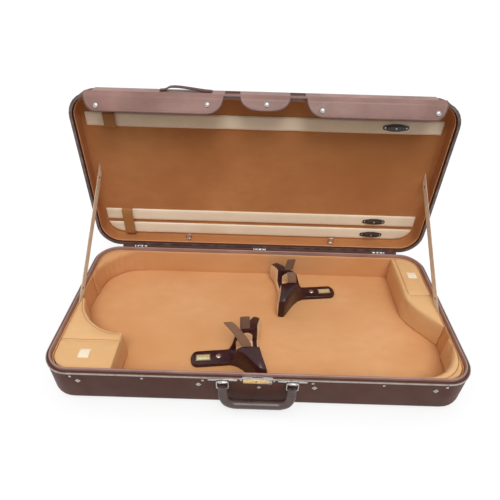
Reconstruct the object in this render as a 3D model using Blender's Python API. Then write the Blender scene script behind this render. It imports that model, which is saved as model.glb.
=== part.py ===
"""Double violin case, standing open: an oblong shell, its lid upright on three hinges and two stays.

All sizes are metres. X runs along the case, Y runs back to the hinges and Z up. The origin is the middle
of the underside. Lid pieces are drawn as if the lid were shut, then turned up about the hinge axis.
"""

import math

import bmesh
import bpy
from mathutils import Matrix, Vector

# Overall sizes
CASE_LENGTH = 0.800
CASE_WIDTH = 0.375
BASE_HEIGHT = 0.080
LID_HEIGHT = 0.045
CORNER_RADIUS = 0.052
BASE_EDGE_RADIUS = 0.012
LID_EDGE_RADIUS = 0.014
LID_OPEN = math.radians(90.0)

# Walls and the gap left between pieces that touch
FIT = 0.0003
WALL = 0.0050
LIP_THICKNESS = 0.0040
LIP_HEIGHT = 0.0058
LINING = 0.0025
FLOOR_PAD = 0.0090
VALANCE_PROUD = 0.0010
VALANCE_SHEET = 0.0007
VALANCE_LEG = 0.0030
VALANCE_WEB = 0.0012
LID_LINING_SETBACK = 0.0080

# Padding inside the base
PADDED_TOP = 0.0775
CRESCENT_RADIUS = 0.078
CRESCENT_TIP = 0.0042
CRESCENT_LEG_X = 0.098
CRESCENT_LEG_Y = 0.101
BLOCK_REACH_X = 0.1174
BLOCK_BOUT_RADIUS = 0.110
BLOCK_BOUT_Y = 0.199
BLOCK_TIP_Y = 0.186
POCKET_WALL = 0.0050
POCKET_LEDGE = 0.0030
POCKET_LID = 0.0062
POCKET_PLAY = 0.0010
POCKET_OVERLAP = 0.0020
FRONT_POCKET_DEPTH = 0.0660
REAR_POCKET_WIDTH = 0.0496
REAR_POCKET_LENGTH = 0.1290
REAR_BLOCK_WALL = 0.0090
REAR_BLOCK_GAP = 0.0268
TAB_SIZE = 0.020
TAB_THICKNESS = 0.0012

# Neck cradles, each drawn with U towards the violin's body, V across and W up from the floor pad
CRADLE_TURN = math.radians(6.5)
FRONT_CRADLE_FROM_END = 0.376
FRONT_WING_FROM_WALL = 0.0184
REAR_CRADLE_FROM_END = 0.425
REAR_WING_FROM_WALL = 0.0124
WING_SPAN = 0.140
WING_HEIGHT = 0.0620
WING_LENGTH = 0.0700
WING_TIP_HEIGHT = 0.0460
WING_TIP_DEPTH = 0.0150
WING_TIP_ROUND = 0.0025
FACE_HOLLOW = 0.0140
TONGUE_WIDTH = 0.036
TONGUE_HEIGHT = 0.0080
TONGUE_LENGTH = 0.0800
CHANNEL_AT_BODY = 0.048
CHANNEL_AT_TONGUE = 0.030
CHANNEL_FLOOR = 0.0260
SHOULDER_PAD = 0.0050
NECK_PAD = 0.0022
NECK_PAD_REACH = 0.85
PLATE_LENGTH = 0.029
PLATE_WIDTH = 0.015
PLATE_THICKNESS = 0.0008
STRAP_WIDTH = 0.020
STRAP_THICKNESS = 0.0016
STRAP_AT = -0.0370

# How each neck strap stands: its length, its lean at the foot, its curl to the end and its drift along U
FRONT_LONG_STRAP = (0.050, 0.60, 0.55, -0.035)
FRONT_SHORT_STRAP = (0.033, 0.02, -0.20, 0.0)
REAR_SHORT_STRAP = (0.033, 0.0, 0.10, -0.004)
REAR_CURLED_STRAP = (0.030, 0.20, 1.90, 0.0)

# Lock and handle on the front
LOCK_HALF = 0.0267
LOCK_PLATE_HALF = 0.0320
LOCK_HEIGHT = 0.0140
LOCK_PROUD = 0.0012
SLIDE_HALF = 0.0235
SLIDE_HEIGHT = 0.0085
SLIDE_TRAVEL = 0.0048
SLIDE_BELOW_RIM = 0.0078
SLIDE_RECESS = 0.0014
CATCH_HALF = 0.0092
CATCH_DROP = 0.0060
CATCH_THICKNESS = 0.0016
CATCH_SETBACK = 0.0018
CATCH_PLAY = 0.0008
BAIL_AT = 0.0635
BAIL_WIDTH = 0.021
BAIL_DROP = 0.0180
BAIL_WIRE = 0.0016
BAIL_CORNER = 0.0018
BAIL_AXIS_OUT = 0.0058
BAIL_BELOW_RIM = 0.0050
HANDLE_PLATE_LENGTH = 0.053
HANDLE_PLATE_DROP = 0.0055
HANDLE_LUG_WIDTH = 0.018
HANDLE_LUG_DROP = 0.0150
HANDLE_PLATE_PROUD = 0.0031
GRIP_DROP = 0.0355
GRIP_OUT = 0.0150
GRIP_RADIUS = 0.0088
GRIP_END_WIDTH = 0.0175
GRIP_END_THICKNESS = 0.0080
GRIP_BEND = 0.0260

# Hinges at the back
HINGE_OUT = 0.0045
HINGE_WIDTH = 0.028
HINGE_SPREAD = 0.300
HINGE_LEAF = 0.0200
HINGE_SHEET = 0.0014
KNUCKLE_RADIUS = 0.0026
KNUCKLE_BORE = 0.0015
PIN_RADIUS = 0.0012
MIDDLE_KNUCKLE = 0.0096

# Stay straps
STAY_WIDTH = 0.020
STAY_THICKNESS = 0.0014
STAY_FOOT_Y = 0.004
STAY_HEAD_FROM_END = 0.0250
STAY_HEAD_HEIGHT = 0.1950

# Lid furniture, places given as distances from the hinge axis unless the name says otherwise
BAND_WIDTH = 0.030
BAND_THICKNESS = 0.0040
LOWER_BAND_AT = 0.0345
MIDDLE_BAND_AT = 0.0735
UPPER_BAND_FROM_FRONT = 0.0655
BAND_END_GAP = 0.0030
LOOP_X = -0.330
LOOP_WIDTH = 0.025
LOOP_SHEET = 0.0015
LOOP_STAND = 0.0062
CLIP_X = 0.281
CLIP_LENGTH = 0.056
CLIP_WIDTH = 0.016
CLIP_THICKNESS = 0.0022
BUTTON_LENGTH = 0.038
BUTTON_WIDTH = 0.011
BUTTON_THICKNESS = 0.0035
RING_X = 0.180
RING_SIZE = 0.013
RING_WIRE = 0.0010
RING_CORNER = 0.0030
RING_PLATE = 0.012
RING_ABOVE_RIM = 0.0180

# Closing flap, drops given from its fold
FLAP_END_GAP = 0.0410
FLAP_CORNER = 0.0250
FLAP_SHEET = 0.0016
FLAP_HEM = 0.0018
FLAP_ABOVE_RIM = 0.0006
FLAP_DROP = 0.0400
TONGUE_DROP = 0.0310
NOTCH_INNER = 0.0495
NOTCH_OUTER = 0.0820
NOTCH_CURVE = 0.0380
STRIP_NOTCH_PLAY = 0.0010
FLAP_BOW = 0.0050
FLAP_FOLD = 0.0090
FLAP_LEAN = math.radians(31.0)
FLAP_STRIP = 0.0012
GRAB_STRAP_X = -0.160
GRAB_STRAP_LENGTH = 0.106
GRAB_STRAP_RISE = 0.0070
GRAB_STRAP_WIDTH = 0.015
GRAB_STRAP_SHEET = 0.0020
GRAB_STRAP_SKEW = 0.022

HALF_X = CASE_LENGTH / 2
HALF_Y = CASE_WIDTH / 2
SEAM = BASE_HEIGHT + FIT
AXIS_Y = HALF_Y + HINGE_OUT
AXIS_Z = BASE_HEIGHT + FIT / 2
LIP_INSET = WALL + FIT
LINING_INSET = LIP_INSET + LIP_THICKNESS + FIT
ROOM_INSET = LINING_INSET + LINING
ROOM_X = HALF_X - ROOM_INSET
ROOM_Y = HALF_Y - ROOM_INSET
ROOM_RADIUS = CORNER_RADIUS - ROOM_INSET
FLOOR = WALL + FIT + FLOOR_PAD
LINING_TOP = BASE_HEIGHT + LIP_HEIGHT - 0.0040
LID_TOP = BASE_HEIGHT + LID_HEIGHT
CEILING = LID_TOP - WALL - FIT - LINING
LID_ROOM_INSET = WALL + FIT + LINING
UPPER_BAND_AT = CASE_WIDTH + HINGE_OUT - UPPER_BAND_FROM_FRONT
BANDS = (("lower", LOWER_BAND_AT), ("middle", MIDDLE_BAND_AT), ("upper", UPPER_BAND_AT))

PATH_STEPS = 8


def material(name, colour, roughness, metallic=0.0):
    found = bpy.data.materials.get(name)
    if found:
        return found
    made = bpy.data.materials.new(name)
    made.use_nodes = True
    shader = made.node_tree.nodes["Principled BSDF"]
    shader.inputs["Base Color"].default_value = (*colour, 1.0)
    shader.inputs["Roughness"].default_value = roughness
    shader.inputs["Metallic"].default_value = metallic
    made.diffuse_color = (*colour, 1.0)
    return made


def leatherette():
    return material("leatherette", (0.075, 0.042, 0.034), 0.55)


def piped_leatherette():
    return material("piped_leatherette", (0.36, 0.23, 0.20), 0.50)


def velour():
    return material("velour", (0.62, 0.34, 0.15), 0.95)


def cream_padding():
    return material("cream_padding", (0.80, 0.66, 0.50), 0.80)


def glossy_vinyl():
    return material("glossy_vinyl", (0.045, 0.018, 0.012), 0.25)


def hook_tape():
    return material("hook_tape", (0.12, 0.06, 0.035), 0.90)


def webbing():
    return material("webbing", (0.66, 0.57, 0.42), 0.85)


def bright_metal():
    return material("bright_metal", (0.80, 0.80, 0.80), 0.22, 1.0)


def brass():
    return material("brass", (0.80, 0.62, 0.36), 0.28, 1.0)


def dark_metal():
    return material("dark_metal", (0.10, 0.085, 0.075), 0.40, 0.8)


def black_plastic():
    return material("black_plastic", (0.03, 0.024, 0.02), 0.40)


TO_HINGE = Matrix.Translation((0, AXIS_Y, AXIS_Z))
LID_FRAME = TO_HINGE @ Matrix.Rotation(-LID_OPEN, 4, "X") @ TO_HINGE.inverted()


def piece(name, shape, look, origin=(0, 0, 0), frame=None, helper=False):
    """An object whose own origin is at `origin`; `frame` takes drawn points to the world."""
    points, faces = shape
    mesh = bpy.data.meshes.new(name)
    mesh.from_pydata([tuple(Vector(p) - Vector(origin)) for p in points], [], [tuple(f) for f in faces])
    mesh.validate()
    work = bmesh.new()
    work.from_mesh(mesh)
    bmesh.ops.remove_doubles(work, verts=work.verts, dist=1e-6)
    bmesh.ops.recalc_face_normals(work, faces=work.faces)
    work.to_mesh(mesh)
    work.free()
    mesh.polygons.foreach_set("use_smooth", [True] * len(mesh.polygons))
    mesh.set_sharp_from_angle(angle=math.radians(32))
    made = bpy.data.objects.new(name, mesh)
    made.matrix_world = (frame or Matrix()) @ Matrix.Translation(origin)
    if helper:
        made.hide_render = True
        made.display_type = "WIRE"
    else:
        made.data.materials.append(look)
    bpy.context.scene.collection.objects.link(made)
    return made


def lid_piece(name, shape, look):
    return piece(name, shape, look, (0, AXIS_Y, AXIS_Z), LID_FRAME)


def soften(made, width, steps=2):
    bevel = made.modifiers.new("soft_edges", "BEVEL")
    bevel.width = width
    bevel.segments = steps
    bevel.limit_method = "ANGLE"
    bevel.angle_limit = math.radians(35)
    return made


def combine(first, second, operation):
    """The shape left by a Boolean of two shapes."""
    base = piece("combine_base", first, None, helper=True)
    tool = piece("combine_tool", second, None, helper=True)
    modifier = base.modifiers.new("combine", "BOOLEAN")
    modifier.operation = operation
    modifier.solver = "EXACT"
    modifier.object = tool
    bpy.context.view_layer.update()
    done = base.evaluated_get(bpy.context.evaluated_depsgraph_get())
    mesh = done.to_mesh()
    shape = ([v.co.copy() for v in mesh.vertices], [tuple(f.vertices) for f in mesh.polygons])
    done.to_mesh_clear()
    bpy.data.objects.remove(base)
    bpy.data.objects.remove(tool)
    return shape


def join(*shapes):
    joined = shapes[0]
    for shape in shapes[1:]:
        joined = combine(joined, shape, "UNION")
    return joined


def cut(shape, *tools):
    for tool in tools:
        shape = combine(shape, tool, "DIFFERENCE")
    return shape


def skin(loops, closed=False):
    """A body through loops of equally many points, capped at its ends or closed on itself."""
    count = len(loops[0])
    points = [p for loop in loops for p in loop]
    faces = []
    for i in range(len(loops) if closed else len(loops) - 1):
        a = i * count
        b = (i + 1) % len(loops) * count
        faces += [(a + j, a + (j + 1) % count, b + (j + 1) % count, b + j) for j in range(count)]
    if not closed:
        faces.append(tuple(reversed(range(count))))
        faces.append(tuple(range(len(points) - count, len(points))))
    return points, faces


def box(x0, x1, y0, y1, z0, z1):
    flat = [(x0, y0), (x1, y0), (x1, y1), (x0, y1)]
    return prism(flat, z0, z1)


def prism(outline, z0, z1):
    return skin([[(x, y, z) for x, y in outline] for z in (z0, z1)])


def extrusion(profile, x0, x1):
    """A (y, z) profile drawn out along X."""
    return skin([[(x, y, z) for y, z in profile] for x in (x0, x1)])


def rod(centre, axis, radius, length, sides=16):
    """A cylinder about `centre` along a world axis."""
    turn = {"X": (1, 2, 0), "Y": (2, 0, 1), "Z": (0, 1, 2)}[axis]
    loops = []
    for end in (-length / 2, length / 2):
        loop = []
        for k in range(sides):
            angle = math.tau * k / sides
            local = (radius * math.cos(angle), radius * math.sin(angle), end)
            point = [0.0, 0.0, 0.0]
            for slot, value in zip(turn, local):
                point[slot] = centre[slot] + value
            loop.append(tuple(point))
        loops.append(loop)
    return skin(loops)


def sleeve(centre, radius, bore, length, sides=16):
    """A tube along X."""
    loops = []
    for end, size in ((-1, bore), (-1, radius), (1, radius), (1, bore)):
        loop = []
        for k in range(sides):
            angle = math.tau * k / sides
            y = centre[1] + size * math.cos(angle)
            z = centre[2] + size * math.sin(angle)
            loop.append((centre[0] + end * length / 2, y, z))
        loops.append(loop)
    return skin(loops, closed=True)


def arc(cx, cy, radius, start, end, steps=PATH_STEPS):
    turns = [math.radians(start + (end - start) * k / steps) for k in range(steps + 1)]
    return [(cx + radius * math.cos(t), cy + radius * math.sin(t)) for t in turns]


def rounded_rectangle(inset, steps=PATH_STEPS):
    """The case's plan outline moved in by `inset`."""
    radius = CORNER_RADIUS - inset
    x = HALF_X - CORNER_RADIUS
    y = HALF_Y - CORNER_RADIUS
    corners = arc(x, y, radius, 0, 90, steps) + arc(-x, y, radius, 90, 180, steps)
    return corners + arc(-x, -y, radius, 180, 270, steps) + arc(x, -y, radius, 270, 360, steps)


def level(inset, z):
    return [(x, y, z) for x, y in rounded_rectangle(inset)]


def edge_levels(edge, inset, z, up, steps=4):
    """(inset, z) pairs round a shell's edge, from its flat face to its wall; `up` is 1 or -1."""
    pairs = []
    for k in range(steps + 1):
        angle = math.pi / 2 * k / steps
        pairs.append((inset + edge * (1 - math.sin(angle)), z + up * edge * (1 - math.cos(angle))))
    return pairs


def tray(outer_edge, inner_edge, inset, thickness, flat, floor, rim, up):
    """A hollow tray: its outside, its rim, then its inside."""
    outside = edge_levels(outer_edge, inset, flat, up)
    inside = edge_levels(inner_edge, inset + thickness, floor, up)
    pairs = outside + [(inset, rim), (inset + thickness, rim)] + inside[::-1]
    return skin([level(i, z) for i, z in pairs])


def make_base_shell():
    rim = BASE_HEIGHT - VALANCE_WEB - FIT
    shape = tray(BASE_EDGE_RADIUS, 0.003, 0.0, WALL, 0.0, WALL, rim, 1)
    side = LOCK_HALF + FIT
    foot = BASE_HEIGHT - LOCK_HEIGHT - FIT
    mortise = box(-side, side, -HALF_Y - WALL, -HALF_Y + WALL + 0.0001, foot, BASE_HEIGHT)
    piece("base_shell", cut(shape, mortise), leatherette())


def valance(seam, up):
    """A thin rim strip: a leg down the outside of the shell and a web over its edge."""
    leg = seam + up * VALANCE_LEG
    web = seam + up * VALANCE_WEB
    pairs = [
        (-VALANCE_PROUD, leg),
        (-VALANCE_PROUD, seam),
        (WALL, seam),
        (WALL, web),
        (-VALANCE_PROUD + VALANCE_SHEET, web),
        (-VALANCE_PROUD + VALANCE_SHEET, leg),
    ]
    return skin([level(i, z) for i, z in pairs], closed=True)


def make_base_rim():
    side = LOCK_PLATE_HALF + FIT
    back = -HALF_Y + WALL + 0.0001
    gap = box(-side, side, -HALF_Y - WALL, back, BASE_HEIGHT - 0.01, BASE_HEIGHT + 0.01)
    piece("base_valance", cut(valance(BASE_HEIGHT, -1), gap), bright_metal())
    top = BASE_HEIGHT + LIP_HEIGHT
    inner = LIP_INSET + LIP_THICKNESS
    round_off = 0.0012
    foot = WALL + 0.0035
    pairs = [
        (LIP_INSET, foot),
        (LIP_INSET, top - round_off),
        (LIP_INSET + round_off / 2, top),
        (inner - round_off / 2, top),
        (inner, top - round_off),
        (inner, foot),
    ]
    piece("base_lip", skin([level(i, z) for i, z in pairs], closed=True), piped_leatherette())


def make_base_lining():
    foot = WALL + FIT
    pairs = [
        (LINING_INSET + 0.001, foot),
        (LINING_INSET, foot + 0.001),
        (LINING_INSET, LINING_TOP - 0.001),
        (LINING_INSET + 0.0008, LINING_TOP),
        (ROOM_INSET, LINING_TOP - 0.0008),
        (ROOM_INSET, FLOOR),
    ]
    piece("base_lining", skin([level(i, z) for i, z in pairs]), velour())


def turned(outline, half_turn):
    return [(-x, -y) for x, y in outline] if half_turn else outline


def crescent_outline():
    """The rear-left corner cushion: it backs onto the lining and gives the violin's end a round seat."""
    back_x = ROOM_X - FIT
    back_y = ROOM_Y - FIT
    corner_x = HALF_X - CORNER_RADIUS
    corner_y = HALF_Y - CORNER_RADIUS
    start_y = ROOM_Y - CRESCENT_LEG_Y
    end_x = -ROOM_X + CRESCENT_LEG_X
    corner = arc(-corner_x, corner_y, ROOM_RADIUS - FIT, 180, 90)
    outer = [(-back_x, start_y)] + corner + [(end_x, back_y)]
    cx = -ROOM_X + CRESCENT_TIP + CRESCENT_RADIUS
    cy = ROOM_Y - CRESCENT_TIP - CRESCENT_RADIUS
    inner = [(end_x, back_y - CRESCENT_TIP + FIT)] + arc(cx, cy, CRESCENT_RADIUS, 90, 180)
    return outer + inner + [(-back_x + CRESCENT_TIP - FIT, start_y)]


def make_crescents():
    for name, half_turn in (("rear_left_cushion", False), ("front_right_cushion", True)):
        outline = turned(crescent_outline(), half_turn)
        soften(piece(name, prism(outline, FLOOR + FIT, PADDED_TOP), velour()), 0.0020, 3)


def make_front_left_block():
    """A filler with a round bout seat, and below its top the ledge and end wall of the front pocket."""
    left = -ROOM_X + FIT
    front = -ROOM_Y + FIT
    seam = -ROOM_Y + FRONT_POCKET_DEPTH
    right = -ROOM_X + BLOCK_REACH_X
    bout_y = -ROOM_Y + BLOCK_BOUT_Y
    tip = -ROOM_Y + BLOCK_TIP_Y
    last = 180 + math.degrees(math.asin((bout_y - tip) / BLOCK_BOUT_RADIUS))
    seat = arc(right, bout_y, BLOCK_BOUT_RADIUS, 270, last, 12)
    upper = prism([(left, seam), (right, seam)] + seat + [(left, tip)], FLOOR + FIT, PADDED_TOP)
    ledge = PADDED_TOP - POCKET_LID - FIT
    shelf = seam - POCKET_LEDGE
    inside = right - POCKET_WALL
    over = seam + POCKET_OVERLAP
    walls = [(left, over), (left, shelf), (inside, shelf), (inside, front), (right, front), (right, over)]
    lower = prism(walls, FLOOR + FIT, ledge)
    soften(piece("front_left_block", join(upper, lower), velour()), 0.0010, 2)


def make_front_pocket_lid():
    left = -ROOM_X + POCKET_PLAY / 2
    front = -ROOM_Y + POCKET_PLAY
    hinge_y = -ROOM_Y + FRONT_POCKET_DEPTH - FIT
    right = -ROOM_X + BLOCK_REACH_X
    corner_x = -(HALF_X - CORNER_RADIUS)
    corner_y = -(HALF_Y - CORNER_RADIUS)
    corner = arc(corner_x, corner_y, ROOM_RADIUS - POCKET_PLAY, 180, 270)
    outline = [(left, hinge_y)] + corner[1:-1] + [(corner_x, front), (right, front), (right, hinge_y)]
    axis = (left / 2 + right / 2, hinge_y, PADDED_TOP)
    lid = piece("front_pocket_lid", prism(outline, PADDED_TOP - POCKET_LID, PADDED_TOP), velour(), axis)
    soften(lid, 0.0012, 2)
    y = hinge_y / 2 + front / 2
    make_pull_tab("front_pocket_tab", axis[0], y, axis)


def make_pull_tab(name, x, y, axis):
    side = TAB_SIZE / 2
    base = PADDED_TOP + FIT
    shape = box(x - side, x + side, y - side, y + side, base, base + TAB_THICKNESS)
    soften(piece(name, shape, cream_padding(), axis), 0.0004, 1)


def make_rear_right_block():
    """A filler with a slanting end, and the ledges and side wall of the rear pocket."""
    right = ROOM_X - FIT
    back = ROOM_Y - FIT
    seam_x = ROOM_X - REAR_POCKET_WIDTH
    wall_x = seam_x - REAR_BLOCK_WALL
    seam_y = ROOM_Y - REAR_POCKET_LENGTH
    tip = -ROOM_Y + CRESCENT_LEG_Y + REAR_BLOCK_GAP
    slant = [(wall_x, seam_y - 0.012), (wall_x + 0.012, seam_y - 0.038), (right, tip)]
    top = [(wall_x, back)] + slant + [(right, seam_y), (seam_x, seam_y), (seam_x, back)]
    ledge = PADDED_TOP - POCKET_LID - FIT
    over_x = seam_x - POCKET_OVERLAP
    over_y = seam_y - POCKET_OVERLAP
    side = seam_x + POCKET_LEDGE
    shelf = seam_y + POCKET_LEDGE
    low = [(over_x, back), (over_x, over_y), (right, over_y), (right, shelf), (side, shelf), (side, back)]
    shape = join(prism(top, FLOOR + FIT, PADDED_TOP), prism(low, FLOOR + FIT, ledge))
    soften(piece("rear_right_block", shape, velour()), 0.0010, 2)


def make_rear_pocket_lid():
    right = ROOM_X - POCKET_PLAY
    back = ROOM_Y - POCKET_PLAY / 2
    hinge_x = ROOM_X - REAR_POCKET_WIDTH + FIT
    front = ROOM_Y - REAR_POCKET_LENGTH + FIT
    corner_x = HALF_X - CORNER_RADIUS
    corner_y = HALF_Y - CORNER_RADIUS
    corner = arc(corner_x, corner_y, ROOM_RADIUS - POCKET_PLAY, 0, 90)
    outline = [(hinge_x, front), (right, front)] + corner + [(corner_x, back), (hinge_x, back)]
    axis = (hinge_x, front / 2 + back / 2, PADDED_TOP)
    lid = piece("rear_pocket_lid", prism(outline, PADDED_TOP - POCKET_LID, PADDED_TOP), velour(), axis)
    soften(lid, 0.0012, 2)
    make_pull_tab("rear_pocket_tab", hinge_x / 2 + right / 2, axis[1], axis)


def smooth(t):
    t = max(0.0, min(1.0, t))
    return t * t * (3 - 2 * t)


def cradle_station(s):
    """Half widths and heights of a cradle at s: 0 where the wings leave the tongue, 1 at their tips."""
    flare = min(1.0, s * WING_LENGTH / (WING_LENGTH - WING_TIP_DEPTH))
    reach = TONGUE_WIDTH / 2 + (WING_SPAN - TONGUE_WIDTH) / 2 * flare ** 1.7
    reach -= WING_TIP_ROUND * max(0.0, s - 0.9) / 0.1
    channel = (CHANNEL_AT_TONGUE + (CHANNEL_AT_BODY - CHANNEL_AT_TONGUE) * s) / 2
    climb = 0.75 * smooth(s / 0.24) + 0.25 * smooth(s / 0.5)
    top = TONGUE_HEIGHT + (WING_HEIGHT - TONGUE_HEIGHT) * climb
    floor = TONGUE_HEIGHT + (CHANNEL_FLOOR - TONGUE_HEIGHT) * smooth(s / 0.7)
    return min(channel, reach - 0.0030), reach, top, floor


def face_set_back(v):
    """How far the hollow face stands back from the line of the wing tips."""
    return FACE_HOLLOW * (1 - min(1.0, abs(2 * v / WING_SPAN)) ** 2)


def cradle_columns(s):
    """(v, w) pairs over half a cross-section: channel floor, channel wall, then the wing's round back."""
    channel, reach, top, floor = cradle_station(s)
    rise = top - floor
    half = [(0.0, floor), (channel - 0.0012, floor), (channel - 0.0004, floor + rise * 0.25)]
    half += [(channel, top - rise * 0.06), (channel + 0.0012, top)]
    slope = (1 - WING_TIP_HEIGHT / WING_HEIGHT) * s
    start = channel + 0.0012
    for share, dip in ((0.30, 0.0), (0.62, 0.0), (0.86, 0.0003), (0.95, 0.0022)):
        half.append((start + (reach - start) * share, top * (1 - slope * share ** 1.5) - dip * s))
    half.append((start + (reach - start) * 0.985, top * (1 - slope) * 0.60))
    return half + [(reach, 0.0008)]


def mirrored(half):
    return [(-v, w) for v, w in half[:0:-1]] + half


def tongue_columns(t):
    """The same columns on the tongue; t runs from 0 to 1 at its rounded end."""
    narrow = math.sqrt(max(0.0, 1 - max(0.0, (t - 0.82) / 0.18) ** 2)) * 0.86 + 0.14
    reach = TONGUE_WIDTH / 2 * narrow
    top = TONGUE_HEIGHT - 0.0030 * max(0.0, (t - 0.9) / 0.1)
    shares = (0.0, 0.20, 0.36, 0.48, 0.58, 0.67, 0.76, 0.84, 0.92)
    return [(reach * k, top) for k in shares] + [(reach * 0.98, top - 0.0012), (reach, 0.0008)]


def cradle_block():
    rows = []
    for t in (1.0, 0.98, 0.94, 0.88, 0.82, 0.40, 0.10):
        rows.append((-WING_LENGTH - TONGUE_LENGTH * t, 0.0, mirrored(tongue_columns(t))))
    for k in range(11):
        s = k / 10
        rows.append((-WING_LENGTH * (1 - s), s ** 3, mirrored(cradle_columns(s))))
    loops = []
    for u, weight, columns in rows:
        top = [(u - weight * face_set_back(v), v, w) for v, w in columns]
        bottom = [(u - weight * face_set_back(v), v, 0.0) for v, w in reversed(columns)]
        loops.append(top + bottom)
    points, faces = skin(loops)
    across = len(rows[0][2])
    round_trip = 2 * across
    last = len(points) - round_trip
    strips = []
    for j in range(across - 1):
        strip = (j, j + 1, round_trip - 2 - j, round_trip - 1 - j)
        strips += [strip, tuple(last + k for k in strip)]
    return points, faces[:-2] + strips


def shoulder_pad():
    """A puffed pad over the hollow face, cut out where the neck passes."""
    columns = mirrored(cradle_columns(1.0)[:-1])
    crown = (0.30, 0.85, 1.0, 0.30)
    loops = []
    for number, (v, w) in enumerate(columns):
        edge = 0.30 if number in (0, len(columns) - 1) else 1.0
        back = []
        front = []
        for k, puff in enumerate(crown):
            height = 0.0015 + (w - 0.0030) * k / (len(crown) - 1)
            u = FIT - face_set_back(v)
            back.append((u, v, height))
            front.append((u + SHOULDER_PAD * min(edge, puff), v, height))
        loops.append(back + front[::-1])
    return skin(loops)


def neck_pad():
    """A padded strip that lines the channel's floor and sides."""
    loops = []
    for k in range(2, 9):
        s = k / 10
        channel, reach, top, floor = cradle_station(s)
        side = channel - 0.0012 - FIT
        low = floor + FIT
        high = floor + (top - floor) * NECK_PAD_REACH * math.sin(math.pi * (k - 1) / 8) ** 0.5
        inner = side - NECK_PAD
        u = -WING_LENGTH * (1 - s) - s ** 3 * face_set_back(0.0)
        section = [(-side, high), (-side, low), (side, low), (side, high)]
        section += [(inner, high), (inner, low + NECK_PAD), (-inner, low + NECK_PAD), (-inner, high)]
        loops.append([(u, v, w) for v, w in section])
    return skin(loops)


def neck_strap(side, length, lean, curl, drift):
    """A standing band that turns over the channel about its foot; `side` is 1 or -1 across the cradle."""
    channel, reach, top, floor = cradle_station(1 + STRAP_AT / WING_LENGTH)
    foot_v = side * (channel + 0.0032)
    foot_w = top + FIT * 1.6 + STRAP_THICKNESS / 2
    steps = 8
    loops = []
    v, w = foot_v, foot_w - STRAP_THICKNESS * 0.3
    for k in range(steps + 1):
        along = k / steps
        angle = lean + curl * along
        half = STRAP_WIDTH / 2 * (1.0 if k < steps else 0.72)
        dv, dw = -side * math.sin(angle), math.cos(angle)
        nv, nw = dw * STRAP_THICKNESS / 2, -dv * STRAP_THICKNESS / 2
        middle = STRAP_AT + drift * along ** 1.3
        corner = [(-half, -1), (half, -1), (half, 1), (-half, 1)]
        loops.append([(middle + u, v + n * nv, w + n * nw) for u, n in corner])
        v += dv * length / steps
        w += dw * length / steps
    return skin(loops), (STRAP_AT, foot_v, foot_w)


def make_cradle(where, foot, heading, forms):
    frame = Matrix.Translation((*foot, FLOOR + FIT)) @ Matrix.Rotation(heading, 4, "Z")
    piece(where + "_cradle", cradle_block(), glossy_vinyl(), frame=frame)
    piece(where + "_shoulder_pad", shoulder_pad(), velour(), frame=frame)
    piece(where + "_neck_pad", neck_pad(), velour(), frame=frame)
    middle = -WING_LENGTH - TONGUE_LENGTH * 0.68
    base = TONGUE_HEIGHT + FIT
    along = PLATE_LENGTH / 2
    across = PLATE_WIDTH / 2
    plate = box(middle - along, middle + along, -across, across, base, base + PLATE_THICKNESS)
    piece(where + "_cradle_plate", plate, brass(), frame=frame)
    for part, side in (("strap_a", -1), ("strap_b", 1)):
        shape, axis = neck_strap(side, *forms[side])
        piece(where + "_neck_" + part, shape, hook_tape(), axis, frame)


def make_cradles():
    front = (ROOM_X - FRONT_CRADLE_FROM_END, -ROOM_Y + FRONT_WING_FROM_WALL + WING_SPAN / 2)
    rear = (-ROOM_X + REAR_CRADLE_FROM_END, ROOM_Y - REAR_WING_FROM_WALL - WING_SPAN / 2)
    make_cradle("front", front, CRADLE_TURN, {-1: FRONT_LONG_STRAP, 1: FRONT_SHORT_STRAP})
    make_cradle("rear", rear, math.pi + CRADLE_TURN, {-1: REAR_SHORT_STRAP, 1: REAR_CURLED_STRAP})


def make_lock():
    face = -HALF_Y - LOCK_PROUD
    back = -HALF_Y + WALL - FIT
    foot = BASE_HEIGHT - LOCK_HEIGHT
    body = box(-LOCK_HALF, LOCK_HALF, face, back, foot, BASE_HEIGHT)
    web = BASE_HEIGHT - VALANCE_WEB
    plate = box(-LOCK_PLATE_HALF, LOCK_PLATE_HALF, face, back + FIT, web, BASE_HEIGHT)
    ears = []
    for side in (-1, 1):
        x0, x1 = sorted((side * (LOCK_HALF + 0.0012), side * LOCK_PLATE_HALF))
        ears.append(box(x0, x1, face, -HALF_Y - FIT, web - 0.0060, BASE_HEIGHT - 0.0004))
    middle = BASE_HEIGHT - SLIDE_BELOW_RIM
    half_slot = SLIDE_HALF + SLIDE_TRAVEL / 2 + FIT
    recess_high = SLIDE_HEIGHT / 2 + FIT
    recess_back = face + SLIDE_RECESS
    recess = box(-half_slot, half_slot, face - 0.001, recess_back, middle - recess_high, middle + recess_high)
    slot_x = CATCH_HALF + CATCH_PLAY
    slot_y = -HALF_Y + CATCH_SETBACK - CATCH_PLAY / 2
    slot_back = slot_y + CATCH_THICKNESS + CATCH_PLAY
    slot_foot = BASE_HEIGHT - CATCH_DROP - 2 * CATCH_PLAY
    slot = box(-slot_x, slot_x, slot_y, slot_back, slot_foot, BASE_HEIGHT + 0.001)
    case = cut(join(body, plate, *ears), recess, slot)
    piece("lock_case", case, bright_metal())
    rest = -SLIDE_TRAVEL / 2
    high = SLIDE_HEIGHT / 2
    back = recess_back - FIT
    bar = box(rest - SLIDE_HALF, rest + SLIDE_HALF, face - 0.0005, back, middle - high, middle + high)
    eye = rod((rest, face, middle + 0.0006), "Y", 0.0013, 0.006, 12)
    leg = box(rest - 0.0006, rest + 0.0006, face - 0.003, face + 0.003, middle - 0.0022, middle + 0.0006)
    slide = piece("lock_slide", cut(bar, join(eye, leg)), brass(), (rest, face, middle))
    soften(slide, 0.0003, 1)


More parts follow.
